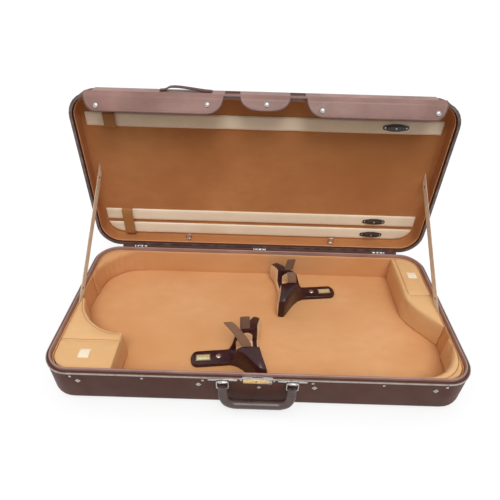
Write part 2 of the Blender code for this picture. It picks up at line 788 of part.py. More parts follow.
def make_handle():
    axis_y = -HALF_Y - BAIL_AXIS_OUT
    axis_z = BASE_HEIGHT - BAIL_BELOW_RIM
    for name, x in (("left", -BAIL_AT), ("right", BAIL_AT)):
        piece("handle_plate_" + name, handle_plate(x, axis_y, axis_z), bright_metal())
        piece("handle_bail_" + name, bail(x, axis_y, axis_z), bright_metal(), (0, axis_y, axis_z))
    piece("handle_grip", grip(axis_y, axis_z), leatherette(), (0, axis_y, axis_z))


def handle_plate(x, axis_y, axis_z):
    """A bar stepped over the rim strip, a narrower lug below it, and an eye for the bail."""
    wall = -HALF_Y - FIT
    over = -HALF_Y - VALANCE_PROUD - FIT
    front = -HALF_Y - HANDLE_PLATE_PROUD
    foot = BASE_HEIGHT - HANDLE_PLATE_DROP
    step = BASE_HEIGHT - VALANCE_LEG - FIT
    top = BASE_HEIGHT - 0.0012
    nose = [(front + 0.0006, top), (front, top - 0.0008)]
    bar = [(wall, foot), (wall, step), (over, step), (over, top)] + nose + [(front, foot)]
    lug_foot = BASE_HEIGHT - HANDLE_LUG_DROP
    lug = [(wall, lug_foot), (wall, step), (front + 0.0006, step), (front + 0.0006, lug_foot)]
    shape = extrusion(bar, x - HANDLE_PLATE_LENGTH / 2, x + HANDLE_PLATE_LENGTH / 2)
    shape = join(shape, extrusion(lug, x - HANDLE_LUG_WIDTH / 2, x + HANDLE_LUG_WIDTH / 2))
    return join(shape, sleeve((x, axis_y, axis_z), BAIL_WIRE + 0.0013, BAIL_WIRE + FIT, 0.014))


def bail(x, axis_y, axis_z):
    """A wire loop hanging from the plate's eye."""
    half = BAIL_WIDTH / 2
    path = rounded_loop(x - half, x + half, axis_z - BAIL_DROP, axis_z, BAIL_CORNER)
    return wire_loop([(px, axis_y, pz) for px, pz in path], Vector((0, 1, 0)), BAIL_WIRE)


def rounded_loop(x0, x1, low, high, corner):
    """The corners of a rectangular loop, turned counter-clockwise from its high right one."""
    right = x1 - corner
    left = x0 + corner
    top = high - corner
    bottom = low + corner
    path = arc(right, top, corner, 0, 90, 3) + arc(left, top, corner, 90, 180, 3)
    return path + arc(left, bottom, corner, 180, 270, 3) + arc(right, bottom, corner, 270, 360, 3)


def wire_loop(path, across, radius, sides=10):
    """A round wire bent into a closed flat loop; `across` is square to its plane."""
    loops = []
    count = len(path)
    for k in range(count):
        here = Vector(path[k])
        along = (Vector(path[(k + 1) % count]) - Vector(path[k - 1])).normalized()
        side = along.cross(across)
        loops.append([])
        for j in range(sides):
            angle = math.tau * j / sides
            out = side * math.cos(angle) + across * math.sin(angle)
            loops[-1].append(tuple(here + out * radius))
    return skin(loops, closed=True)


def grip(axis_y, axis_z):
    """A padded handle: flat where it wraps the bails, round in the hand."""
    eye_z = axis_z - BAIL_DROP
    low = eye_z - GRIP_DROP
    bend_x = BAIL_AT - GRIP_BEND
    bend_z = low + GRIP_BEND
    right = [(BAIL_AT, eye_z + GRIP_END_THICKNESS / 2), (BAIL_AT, eye_z), (BAIL_AT, eye_z / 2 + bend_z / 2)]
    right += arc(bend_x, bend_z, GRIP_BEND, 0, -90, 6)
    path = right + [(0.0, low)] + [(-x, z) for x, z in reversed(right)]
    rings = []
    for k, (x, z) in enumerate(path):
        ahead = path[min(k + 1, len(path) - 1)]
        behind = path[max(k - 1, 0)]
        along = Vector((ahead[0] - behind[0], 0, ahead[1] - behind[1])).normalized()
        side = Vector((-along.z, 0, along.x))
        share = smooth((eye_z - z) / (eye_z - low) * 1.2)
        wide = GRIP_END_WIDTH / 2 * (1 - share) + GRIP_RADIUS * share
        deep = GRIP_END_THICKNESS / 2 * (1 - share) + GRIP_RADIUS * share
        here = Vector((x, axis_y - (GRIP_OUT - BAIL_AXIS_OUT) * share, z))
        rings.append([])
        for j in range(12):
            angle = math.tau * j / 12
            out = Vector((0, deep * math.sin(angle), 0))
            rings[-1].append(tuple(here + side * wide * math.cos(angle) + out))
    holes = [rod((x, axis_y, eye_z), "X", BAIL_WIRE + FIT, 0.026, 12) for x in (-BAIL_AT, BAIL_AT)]
    return cut(skin(rings), *holes)


def hinge_sheet(x0, x1, from_axis, to_axis, up):
    """The part of a leaf that lies on the wall."""
    wall = HALF_Y + FIT
    face = wall + HINGE_SHEET
    near = AXIS_Z + up * from_axis
    far = AXIS_Z + up * to_axis
    return extrusion([(wall, near), (face, near), (face, far), (wall, far)], x0, x1)


def hinge_neck(x0, x1, up):
    """The part of a leaf that steps round the rim strip to the axis."""
    inner = HALF_Y + VALANCE_PROUD + FIT
    outer = inner + HINGE_SHEET
    foot = AXIS_Z + up * (VALANCE_LEG + 0.0020)
    end = AXIS_Z + up * 0.0004
    profile = [(inner, foot), (outer, foot), (outer, end), (inner, end)]
    return extrusion(profile, x0, x1)


def make_hinges():
    half = HINGE_WIDTH / 2
    split = MIDDLE_KNUCKLE / 2
    clear = VALANCE_LEG + 0.0006
    for name, x in (("left", -HINGE_SPREAD), ("middle", 0.0), ("right", HINGE_SPREAD)):
        axis = (x, AXIS_Y, AXIS_Z)
        plate = hinge_sheet(x - half, x + half, clear, clear + HINGE_LEAF, -1)
        neck = hinge_neck(x - split, x + split, -1)
        knuckle = rod(axis, "X", KNUCKLE_RADIUS, MIDDLE_KNUCKLE)
        pin = rod(axis, "X", PIN_RADIUS, HINGE_WIDTH - 0.0004, 12)
        piece("hinge_base_leaf_" + name, join(plate, neck, knuckle, pin), bright_metal())
        shape = hinge_sheet(x - half, x + half, clear, clear + HINGE_LEAF, 1)
        for side in (-1, 1):
            x0 = x + side * (split + 0.0004)
            x1 = x + side * half
            shape = join(shape, hinge_neck(min(x0, x1), max(x0, x1), 1))
            centre = ((x0 + x1) / 2, AXIS_Y, AXIS_Z)
            shape = join(shape, sleeve(centre, KNUCKLE_RADIUS, KNUCKLE_BORE, abs(x1 - x0)))
        lid_piece("hinge_lid_leaf_" + name, shape, bright_metal())


def make_stays():
    """Webbing from the top of the padding to the lid's ceiling, each end cut square to what it meets."""
    half = STAY_WIDTH / 2
    foot_x = ROOM_X - 2 * FIT - STAY_THICKNESS
    head_x = HALF_X - STAY_HEAD_FROM_END
    head_y = AXIS_Y + CEILING - FIT - AXIS_Z
    for name, side in (("left", -1), ("right", 1)):
        foot = Vector((side * foot_x, STAY_FOOT_Y, PADDED_TOP + FIT))
        head = Vector((side * head_x, head_y, AXIS_Z + STAY_HEAD_HEIGHT))
        along = (head - foot).normalized()
        across = Vector((0, -along.z, along.y))
        out = Vector((STAY_THICKNESS / 2, 0, 0))
        loops = []
        for k in range(9):
            share = k / 8
            loops.append([])
            for a, b in ((-1, -1), (1, -1), (1, 1), (-1, 1)):
                trim = -across.z / along.z * (1 - share) - across.y / along.y * share
                here = foot.lerp(head, share) + a * half * (across + along * trim)
                loops[-1].append(tuple(here + b * out))
        piece("stay_strap_" + name, skin(loops), webbing())


def make_lid_shell():
    rim = SEAM + VALANCE_WEB + FIT
    shape = tray(LID_EDGE_RADIUS, LID_EDGE_RADIUS - WALL, 0.0, WALL, LID_TOP, LID_TOP - WALL, rim, -1)
    lid_piece("lid_shell", shape, leatherette())
    lining_edge = LID_EDGE_RADIUS - WALL - FIT
    flat = LID_TOP - WALL - FIT
    foot = SEAM + LID_LINING_SETBACK
    shape = tray(lining_edge, lining_edge - LINING, WALL + FIT, LINING, flat, CEILING, foot, -1)
    lid_piece("lid_lining", shape, velour())


def make_lid_valance():
    """The lid's rim strip with the catch that drops into the lock."""
    catch_y = -HALF_Y + CATCH_SETBACK
    foot = SEAM - CATCH_DROP
    catch = box(-CATCH_HALF, CATCH_HALF, catch_y, catch_y + CATCH_THICKNESS, foot, SEAM + VALANCE_WEB / 2)
    window = box(-0.0050, 0.0050, catch_y - 0.001, catch_y + 0.003, foot + 0.0015, foot + 0.0038)
    lid_piece("lid_valance", join(valance(SEAM, 1), cut(catch, window)), dark_metal())


def band_outline(near, far):
    """A bow band in plan, its ends trimmed to the lid's inside corners."""
    y0 = AXIS_Y - far
    y1 = AXIS_Y - near
    inset = LID_EDGE_RADIUS + BAND_END_GAP
    corner_y = HALF_Y - CORNER_RADIUS
    radius = CORNER_RADIUS - inset
    steps = 6
    right = []
    for k in range(steps + 1):
        y = y0 + (y1 - y0) * k / steps
        past = min(radius, max(0.0, abs(y) - corner_y))
        right.append((HALF_X - inset - radius + math.sqrt(radius * radius - past * past), y))
    return right + [(-x, y) for x, y in reversed(right)]


def make_bow_bands():
    base = CEILING - FIT
    for name, at in BANDS:
        outline = band_outline(at - BAND_WIDTH / 2, at + BAND_WIDTH / 2)
        band = lid_piece("bow_band_" + name, prism(outline, base - BAND_THICKNESS, base), cream_padding())
        soften(band, 0.0010, 1)
        if name != "middle":
            make_tip_loop(name, at)
        make_turn_clip(name, at)


def make_tip_loop(name, at):
    """A flat loop over the bow tips; the lower one bridges two bands."""
    near = at - BAND_WIDTH / 2 - 0.0008
    far = (MIDDLE_BAND_AT if name == "lower" else at) + BAND_WIDTH / 2 + 0.0008
    base = CEILING - FIT
    crown = base - BAND_THICKNESS - LOOP_STAND
    y0 = AXIS_Y - far - LOOP_SHEET
    y1 = AXIS_Y - near + LOOP_SHEET
    slant = 0.0020
    outside = [(y0, base), (y0 + slant, crown), (y1 - slant, crown), (y1, base)]
    inside = [(y1 - LOOP_SHEET, base), (y1 - slant - LOOP_SHEET, crown + LOOP_SHEET)]
    inside += [(y0 + slant + LOOP_SHEET, crown + LOOP_SHEET), (y0 + LOOP_SHEET, base)]
    shape = extrusion(outside + inside, LOOP_X - LOOP_WIDTH / 2, LOOP_X + LOOP_WIDTH / 2)
    lid_piece("tip_loop_" + name, shape, velour())


def lozenge(x, y, length, width, end_share):
    """A long plate outline, widest in the middle with rounded ends."""
    end = width / 2 * end_share
    reach = length / 2 - end
    right = [(px, py) for px, py in arc(x + reach, y, end, -80, 80, 6)]
    left = [(px, py) for px, py in arc(x - reach, y, end, 100, 260, 6)]
    top = [(x + width * 0.5, y + width / 2), (x - width * 0.5, y + width / 2)]
    bottom = [(x - width * 0.5, y - width / 2), (x + width * 0.5, y - width / 2)]
    return right + top + left + bottom


def make_turn_clip(name, at):
    """A plate on the band and a button that turns over the bow's frog."""
    y = AXIS_Y - at
    base = CEILING - FIT - BAND_THICKNESS - FIT
    under = base - CLIP_THICKNESS
    plate = prism(lozenge(CLIP_X, y, CLIP_LENGTH, CLIP_WIDTH, 0.62), under, base)
    soften(lid_piece("bow_clip_plate_" + name, plate, black_plastic()), 0.0005, 1)
    head = under - FIT
    button = prism(lozenge(CLIP_X, y, BUTTON_LENGTH, BUTTON_WIDTH, 0.80), head - BUTTON_THICKNESS, head)
    axis = (CLIP_X, y, head)
    soften(piece("bow_clip_button_" + name, button, black_plastic(), axis, LID_FRAME), 0.0006, 1)


def make_lid_rings():
    """Two small plates on the lid's rear wall, each with a swinging ring."""
    wall = HALF_Y - LID_ROOM_INSET - FIT
    z = SEAM + RING_ABOVE_RIM
    stand = wall - 0.0012 - 0.0016
    half = RING_PLATE / 2
    for name, x in (("left", -RING_X), ("right", RING_X)):
        sheet = box(x - half, x + half, wall - 0.0012, wall, z - half * 0.8, z + half * 0.8)
        eye = sleeve((x, stand, z), 0.0022, RING_WIRE + FIT, 0.006, 12)
        lid_piece("lid_ring_plate_" + name, join(sheet, eye), bright_metal())
        side = RING_SIZE / 2
        path = rounded_loop(x - side, x + side, stand - RING_SIZE, stand, RING_CORNER)
        ring = wire_loop([(px, py, z) for px, py in path], Vector((0, 0, 1)), RING_WIRE, 8)
        piece("lid_ring_" + name, ring, bright_metal(), (x, stand, z), LID_FRAME)


def flap_drop(x):
    """How far the flap hangs at x: two long leaves and a middle tongue, with notches for the bails."""
    hem = FLAP_HEM * 1.6
    distance = abs(x)
    if distance <= NOTCH_INNER:
        share = math.sqrt(1 - (distance / NOTCH_INNER) ** 3)
        return hem + (TONGUE_DROP - hem) * share
    if distance < NOTCH_OUTER:
        return hem
    inner = 1 - min(1.0, (distance - NOTCH_OUTER) / NOTCH_CURVE)
    outer = 1 - min(1.0, (HALF_X - FLAP_END_GAP - distance) / FLAP_CORNER)
    share = math.sqrt(max(0.0, 1 - inner ** 2.4)) * math.sqrt(max(0.0, 1 - outer ** 2.4))
    return hem + (FLAP_DROP - hem) * share


def flap_columns():
    """Where the flap is cut across: close together where its edge curves."""
    end = HALF_X - FLAP_END_GAP
    crowding = (0.0, 0.02, 0.10, 0.24, 0.45, 0.70, 1.0)
    outer = [end - share * FLAP_CORNER for share in crowding]
    inner = [NOTCH_OUTER + share * NOTCH_CURVE for share in crowding]
    tongue = [NOTCH_INNER * share for share in (0.0, 0.30, 0.55, 0.75, 0.88, 0.96, 0.995, 1.0)]
    middle = [inner[-1] + (outer[-1] - inner[-1]) * k / 4 for k in range(1, 4)]
    right = tongue + inner + middle + outer[::-1]
    return [-x for x in reversed(right[1:])] + right


def flap_shape(axis_y, axis_z):
    """A hem rolled about the fold, and a leather sheet bowed out so that it clears the lock."""
    hem_rows = [(-0.95, 0.30), (-0.4, 0.92), (0.5, 0.86), (1.3, 0.46)]
    loops = []
    for x in flap_columns():
        drop = flap_drop(x)
        rows = [(share * FLAP_HEM, thick * FLAP_HEM) for share, thick in hem_rows]
        start = rows[-1][0]
        for k, most in ((1, 0.0050), (2, FLAP_FOLD), (3, drop), (4, drop)):
            rows.append((min(most, start + (drop - start) * k / 4), FLAP_SHEET / 2))
        outside = [(s, FLAP_BOW * smooth(s / FLAP_FOLD), h) for s, h in rows]
        inside = [(s, n, -h) for s, n, h in reversed(outside)]
        loops.append([(x, axis_y - n - h, axis_z - s) for s, n, h in outside + inside])
    return skin(loops)


def make_flap():
    axis_y = -HALF_Y - VALANCE_PROUD - FIT - FLAP_HEM
    axis_z = SEAM + FLAP_ABOVE_RIM
    fold = LID_OPEN - FLAP_LEAN
    axis = Vector((0, axis_y, axis_z))
    turn = Matrix.Translation(axis) @ Matrix.Rotation(fold, 4, "X") @ Matrix.Translation(-axis)
    piece("closing_flap", flap_shape(axis_y, axis_z), piped_leatherette(), axis, LID_FRAME @ turn)
    make_flap_strip(axis_z + FLAP_HEM + FIT)


def make_flap_strip(start):
    """The strip that the flap is sewn to: over the rim strip, up the lid's front and round its edge.

    Two notches leave the wall bare where the flap's own notches are.
    """
    proud = VALANCE_PROUD + FIT
    step = SEAM + VALANCE_LEG + FIT
    end = LID_TOP - LID_EDGE_RADIUS
    inner = []
    outer = []
    for gap, z in ((proud, start), (proud, step), (FIT, step + 0.0010), (FIT, end)):
        inner.append((-HALF_Y - gap, z))
        outer.append((-HALF_Y - gap - FLAP_STRIP, z))
    centre = -HALF_Y + LID_EDGE_RADIUS
    for k in range(1, 5):
        angle = math.radians(15 * k)
        for side, radius in ((inner, LID_EDGE_RADIUS + FIT), (outer, LID_EDGE_RADIUS + FIT + FLAP_STRIP)):
            side.append((centre - radius * math.cos(angle), end + radius * math.sin(angle)))
    reach = HALF_X - CORNER_RADIUS
    strip = extrusion(inner + outer[::-1], -reach, reach)
    notches = []
    for side in (-1, 1):
        x0, x1 = sorted((side * (NOTCH_INNER + STRIP_NOTCH_PLAY), side * (NOTCH_OUTER - STRIP_NOTCH_PLAY)))
        notches.append(box(x0, x1, -HALF_Y - 0.01, -HALF_Y + 0.01, start - 0.001, end))
    lid_piece("flap_strip", cut(strip, *notches), piped_leatherette())


def make_grab_strap():
    """A short strap arched off the lid's front wall, where a hand lifts the lid."""
    half = GRAB_STRAP_LENGTH / 2
    wall = -HALF_Y - FIT - FLAP_STRIP - FIT
    middle = LID_TOP - LID_EDGE_RADIUS - GRAB_STRAP_WIDTH / 2
    loops = []
    for k in range(13):
        t = -1 + k / 6
        rise = GRAB_STRAP_RISE * (0.5 + 0.5 * math.cos(t * math.pi))
        x = GRAB_STRAP_X + half * t - GRAB_STRAP_SKEW * rise / GRAB_STRAP_RISE
        loops.append([])
        for a, b in ((-1, 0), (1, 0), (1, 1), (-1, 1)):
            loops[-1].append((x, wall - rise - b * GRAB_STRAP_SHEET, middle + a * GRAB_STRAP_WIDTH / 2))
    lid_piece("grab_strap", skin(loops), black_plastic())


def main():
    for found in list(bpy.data.objects):
        bpy.data.objects.remove(found)
    make_base_shell()
    make_base_rim()
    make_base_lining()
    make_crescents()
    make_front_left_block()
    make_front_pocket_lid()
    make_rear_right_block()
    make_rear_pocket_lid()
    make_cradles()
    make_lock()
    make_handle()
    make_hinges()
    make_stays()
    make_lid_shell()
    make_lid_valance()
    make_bow_bands()
    make_lid_rings()
    make_flap()
    make_grab_strap()


main()
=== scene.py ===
"""How the open double violin case looks: soft pieces, small fasteners, materials, light and camera.

Everything is in metres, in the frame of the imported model. Lid pieces are drawn as if the lid were shut
and then stood up with `raised`. A piece's object stays at the origin, so a material's object
coordinates are the same metres.
"""

import math

import bpy
import numpy as np
from mathutils import Matrix, Vector, noise
from mathutils.bvhtree import BVHTree


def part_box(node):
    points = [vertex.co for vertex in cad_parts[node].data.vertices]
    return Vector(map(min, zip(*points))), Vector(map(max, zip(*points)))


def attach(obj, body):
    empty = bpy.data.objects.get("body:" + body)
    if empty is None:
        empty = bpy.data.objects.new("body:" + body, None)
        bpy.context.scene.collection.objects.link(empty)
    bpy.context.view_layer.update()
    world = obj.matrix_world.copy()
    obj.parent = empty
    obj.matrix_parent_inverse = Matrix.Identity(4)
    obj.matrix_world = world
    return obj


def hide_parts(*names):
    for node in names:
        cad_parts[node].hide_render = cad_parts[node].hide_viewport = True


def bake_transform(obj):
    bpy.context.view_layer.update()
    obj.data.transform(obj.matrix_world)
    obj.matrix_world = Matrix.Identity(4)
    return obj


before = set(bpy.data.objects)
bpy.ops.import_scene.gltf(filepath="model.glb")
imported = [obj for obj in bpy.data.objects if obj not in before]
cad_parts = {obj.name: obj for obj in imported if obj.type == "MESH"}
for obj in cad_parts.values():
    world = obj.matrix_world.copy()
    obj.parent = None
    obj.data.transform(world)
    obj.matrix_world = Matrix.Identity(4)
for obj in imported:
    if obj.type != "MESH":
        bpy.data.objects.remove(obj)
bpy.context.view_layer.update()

# The case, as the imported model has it
HALF_X = 0.400
HALF_Y = 0.1875
CORNER_RADIUS = 0.052
RIM = 0.080
FIT = 0.0003
AXIS_Y = 0.192
AXIS_Z = 0.08015
FLOOR = 0.0143
PADDED_TOP = 0.0775
LIP_OUTER = 0.0055
LIP_INNER = 0.0093
LIP_FOOT = 0.0085
LIP_TOP = 0.0858
LOCK_HALF = 0.0275
LINING_OUTER = 0.0096
ROOM_INSET = 0.0121
LINING_FOOT = 0.0053
LINING_TOP = 0.0766
LID_LINING_OUTER = 0.0053
LID_ROOM_INSET = 0.0078
LID_LINING_FOOT = 0.0883
LID_BACK = 0.1197
CEILING = 0.1172
LID_COVE = 0.0087
ROOM_X = HALF_X - ROOM_INSET
ROOM_Y = HALF_Y - ROOM_INSET

# Sections of the linings as (inset, z) steps: the base lining's rolled edge from its outer wall and top,
# and its tucked foot from the room's wall and floor
LINING_EDGE = ((0.0, -0.0012), (0.0005, -0.0002), (0.0012, 0.0), (0.0020, -0.0003))
LINING_EDGE_DROP = 0.0013
LINING_TUCK = ((-0.0003, 0.0012), (-0.0006, 0.0001), (-0.0002, -0.0006), (0.0008, -0.0003))
LINING_BEVEL = 0.001
LINING_MIDDLE = 0.045
BACKING_RINGS = (0.150, 0.060)
FLOOR_EDGE = 0.0020
FLOOR_RING = 0.0117
CEILING_RING = 0.0125
LID_EDGE_ROUND = 0.0012
LID_EDGE_HALF = 0.0006
LID_COVE_CHAMFER = 0.003
LID_PIPING_AT = (0.0006, 0.0005)
LID_PIPING_RADIUS = 0.0013

# The dark edging on the rim, as (inset, rise above the rim)
EDGING = ((0.0004, 0.00002), (0.0006, 0.00012), (0.0048, 0.00012), (0.0050, 0.00002))

# How finely an outline round the case is drawn, and how sharp a turn stays an edge
CORNER_STEPS = 14
SIDE_STEPS = 24
SHARP_TURN = math.radians(48)
CAD_SHARP_TURN = math.radians(42)
BEVEL_TURN = math.radians(40)

# A flat strap's section, as shares of its half width, and how much thinner its edges are
STRAP_SHARES = (-1.0, -0.97, -0.86, -0.5, 0.0, 0.5, 0.86, 0.97, 1.0)
STRAP_THINNING = 0.65
STRAP_END_THINNING = 0.6
STRAP_TAPER_POINTS = 1.5

# Bow bands and what holds them, as distances from the hinge axis up the open lid
BAND_AT = {"lower": 0.0345, "middle": 0.0735, "upper": 0.3140}
BAND_WIDTH = 0.030
BAND_THICKNESS = 0.0040
BAND_INSET = 0.017
BAND_SEAM_INSET = 0.0025
BAND_SEAM_END = 0.006
LOOPS = {"lower": ("lower", "middle"), "upper": ("upper", "upper")}
LOOP_X = -0.330
LOOP_WIDTH = 0.025
LOOP_SHEET = 0.0015
LOOP_STAND = 0.0062
LOOP_CLEAR = 0.0015
LOOP_SEAM_AT = 0.0062
LOOP_SEAM_HALF = 0.010
CLIP_X = 0.281
CLIP_SCREW = 0.0225

# Closing flap, drops measured from its fold
FOLD_Y = -0.1906
FOLD_Z = 0.0809
FLAP_END = 0.359
FLAP_CORNER = 0.025
FLAP_SHEET = 0.0016
FLAP_HEM = 0.0018
FLAP_DROP = 0.040
TONGUE_DROP = 0.031
NOTCH_INNER = 0.0495
NOTCH_OUTER = 0.082
NOTCH_CURVE = 0.038
FLAP_BOW = 0.005
FLAP_FOLD = 0.009
FLAP_RISE = math.radians(59.0)
FLAP_PIPING = 0.0012
FLAP_SLACK = 0.0006
# The rolled hem at the fold, as shares of the hem along the flap and out of it
FLAP_ROLL = ((-0.95, 0.30), (-0.4, 0.92), (0.5, 0.86))
FOLD_CLEAR = 0.006
PIPING_INSET = 0.0007
PIPING_LIFT = 0.0005
STITCH_INSET = 0.0034
STITCH_LIFT = 0.0001
CAPS = ((-0.334, 0.028), (-0.114, 0.021), (0.003, 0.018), (0.113, 0.026), (0.341, 0.025))

# Handle and grab strap
GRIP_AT = 0.0635
GRIP_AXIS_Y = -0.1933
GRIP_EYE_Z = 0.057
GRIP_LOW = 0.0215
GRIP_OUT = 0.0092
GRIP_RADIUS = 0.0088
GRIP_END_WIDTH = 0.0175
GRIP_END_THICKNESS = 0.0080
GRIP_BEND = 0.026
GRIP_SWELL = 1.2
GRIP_END_ROUND = 0.80
GRIP_SEAM_FROM = 0.15
GRIP_SEAM_AT = (0.97, 0.20)
GRAB_X = -0.160
GRAB_LENGTH = 0.106
GRAB_RISE = 0.0070
GRAB_SHEET = 0.0020
GRAB_WIDTH = 0.015
GRAB_SKEW = 0.022
GRAB_WALL = -0.1893
GRAB_MIDDLE = 0.1035

# Stay straps
STAY_WIDTH = 0.020
STAY_THICKNESS = 0.0014
STAY_FOOT = (0.3859, 0.004, 0.0778)
STAY_HEAD = (0.3750, 0.22875, 0.27515)
STAY_RIVET_AT = 0.022

# Padding: the seats' round ends as (x, y) and radius, and the sewn channels beside them
SEAT_AT = (0.3057, -0.0932)
SEAT_RADIUS = 0.078
SEAM_TIP = 0.0032
SEAM_MIDDLE = 0.0115
SEAM_DEPTH = 0.0018
SEAM_WIDTH = 0.0013
SEAM_CORD = 0.0005
ROLL_RISE = 0.0012
BLOCK_SEAT_AT = (-0.2705, 0.0236)
BLOCK_SEAT_RADIUS = 0.110
BLOCK_SEAM = 0.0050
BLOCK_SEAM_Y = -0.1062
BLOCK_SEAM_DEPTH = 0.0016
BOLSTER_THINS = (-0.345, -0.290)
BOLSTER_THINNING = 0.88
LEFT_POCKET_Y = -0.1075
RIGHT_POCKET = (0.336, 0.044)
# How far below the padding's top a point still counts as on top, for each use
TOP_BAND = {"cord": 0.010, "bolster": 0.008, "block": 0.006, "ledge": 0.004, "lid": 0.0015}
PAD_MARGIN = 0.0022
FOOT_MARGIN = 0.003
CLOTH_STEPS = 20
# Each kind of stuffed piece: look, remesh size, rounds of easing, cloth pressure, most swelling and fill
STUFFING = {
    "rear_cushion": ("tan_velour", 0.0025, 14, 4.0, 0.0032, 0.8),
    "front_cushion": ("padding_velour", 0.0025, 10, 4.0, 0.0024, 0.8),
    "left_block": ("padding_velour", 0.0030, 12, 4.0, 0.0018, 0.9),
    "right_block": ("padding_velour", 0.0030, 16, 4.0, 0.0018, 0.9),
    "pocket_lid": ("padding_velour", 0.0020, 0, 4.0, 0.0014, 0.7),
    "shoulder_pad": ("pad_velour", 0.0018, 0, 9.0, 0.0052, 0.9),
    "neck_pad": ("pad_velour", 0.0011, 0, 3.0, 0.0009, 0.6),
}

# A stitch along its length, as (share of its half length, share of its radius)
STITCH_FORM = ((-1.0, 0.25), (-0.6, 0.9), (0.6, 0.9), (1.0, 0.25))

# Stitches as (spacing, length, radius)
PULL_STITCH = (0.0026, 0.0018, 0.00022)
STRAP_STITCH = (0.0034, 0.0022, 0.00028)
BAND_STITCH = (0.0042, 0.0026, 0.00022)
LOOP_STITCH = (0.0032, 0.0022, 0.0003)
FLAP_STITCH = (0.0032, 0.0022, 0.00028)
GRIP_STITCH = (0.0040, 0.0026, 0.0008)

# Ribbon pulls on the pocket lids
PULL_SHEET = 0.0007
PULL_BULGE = 0.0012
# The stitched row: shares of the pull's half depth and half width, and its rise
PULL_ROW = (0.82, 0.85, 0.0016)

# The covering across the back, between the hinges
COVER_END = 0.345
COVER_GAP = 0.0010
COVER_SHEET = 0.0008
COVER_REACH = 0.012
# Its section as (y, z) steps: up the base's wall to the rim, then out under the lid's back
COVER_WALL = ((0.0, -COVER_REACH), (0.0, -0.004), (0.0004, 0.0))
COVER_LID = ((0.0016, -0.0014), (0.0042, -0.0002), (0.0070, 0.0), (COVER_REACH, 0.0))

# Neck cradles: U runs from the wings' tips to the tongue's end, V across and W up
CRADLES = {
    "front": ((0.0119, -0.0870, 0.0146), 6.5),
    "rear": ((0.0371, 0.0930, 0.0146), 186.5),
}
STRAP_WIDTH = 0.020
STRAP_THICKNESS = 0.0016
STRAP_AT = -0.037
STRAP_FOOT_V = 0.0231
STRAP_FOOT_W = 0.0627
STRAP_STEPS = 28
STRAP_HEM = 0.0022
# Each neck strap's side, length, lean at its foot, curl to its end and drift along U
STRAPS = {
    "front_strap_a": (-1, 0.050, 0.60, 0.55, -0.035),
    "front_strap_b": (1, 0.033, 0.02, -0.20, 0.0),
    "rear_strap_a": (-1, 0.033, 0.0, 0.10, -0.004),
    "rear_strap_b": (1, 0.030, 0.20, 1.90, 0.0),
}
PLATE_U = -0.1244
PLATE_LENGTH = 0.029
PLATE_WIDTH = 0.015
PLATE_TOP = 0.0091
# The border round each label plate, as (inset, rise above the plate)
PLATE_BORDER = ((0.0005, 0.00002), (0.0005, 0.00022), (0.0013, 0.00022), (0.0013, 0.00002))
CRADLE_SCREW = (-0.0925, 0.0, 0.0084)

# Fasteners on the base's front wall
SNAP_STUDS = ((-0.330, 0.058), (-0.108, 0.058), (0.105, 0.057), (0.327, 0.059))
LOW_STUD = (0.003, 0.053)
LOW_STUD_SIZE = (0.8, 0.6)
STUD_LOBES = 4
STUD_WAVE = 0.28
RIVETS_X = (-0.342, -0.211, -0.100, 0.101, 0.230, 0.345)
RIVETS_Z = 0.070
WALL_FACE = -HALF_Y - 0.00005
KEYHOLE_DEPTH = 0.0009

# Turned heads as (radius, height), from the foot to the tip
CAP_HEAD = ((0.0058, 0.0), (0.0058, 0.0006), (0.0052, 0.0016), (0.0035, 0.0026), (0.0010, 0.0030))
SCREW_HEAD = ((0.0062, 0.0), (0.0062, 0.0009), (0.0054, 0.0022), (0.0036, 0.0032), (0.0010, 0.0036))
CLIP_HEAD = ((0.0021, 0.0), (0.0021, 0.0003), (0.0016, 0.0008), (0.0005, 0.0010))
STAY_RIVET = ((0.0030, 0.0), (0.0030, 0.0002), (0.0022, 0.0006), (0.0006, 0.0008))
RIVET_HEAD = ((0.0027, 0.0), (0.0027, 0.0002), (0.0020, 0.0008), (0.0006, 0.0010))
STUD_HEAD = (
    (0.0052, 0.0), (0.0052, 0.0005), (0.0044, 0.0011), (0.0026, 0.0013), (0.0026, 0.0019), (0.0010, 0.0021),
)
# A dark disc set behind the keyhole: painted shade for the hole
KEYHOLE_SHADE_DISC = ((0.0026, 0.0), (0.0030, 0.0001), (0.0030, 0.0003), (0.0026, 0.0004))

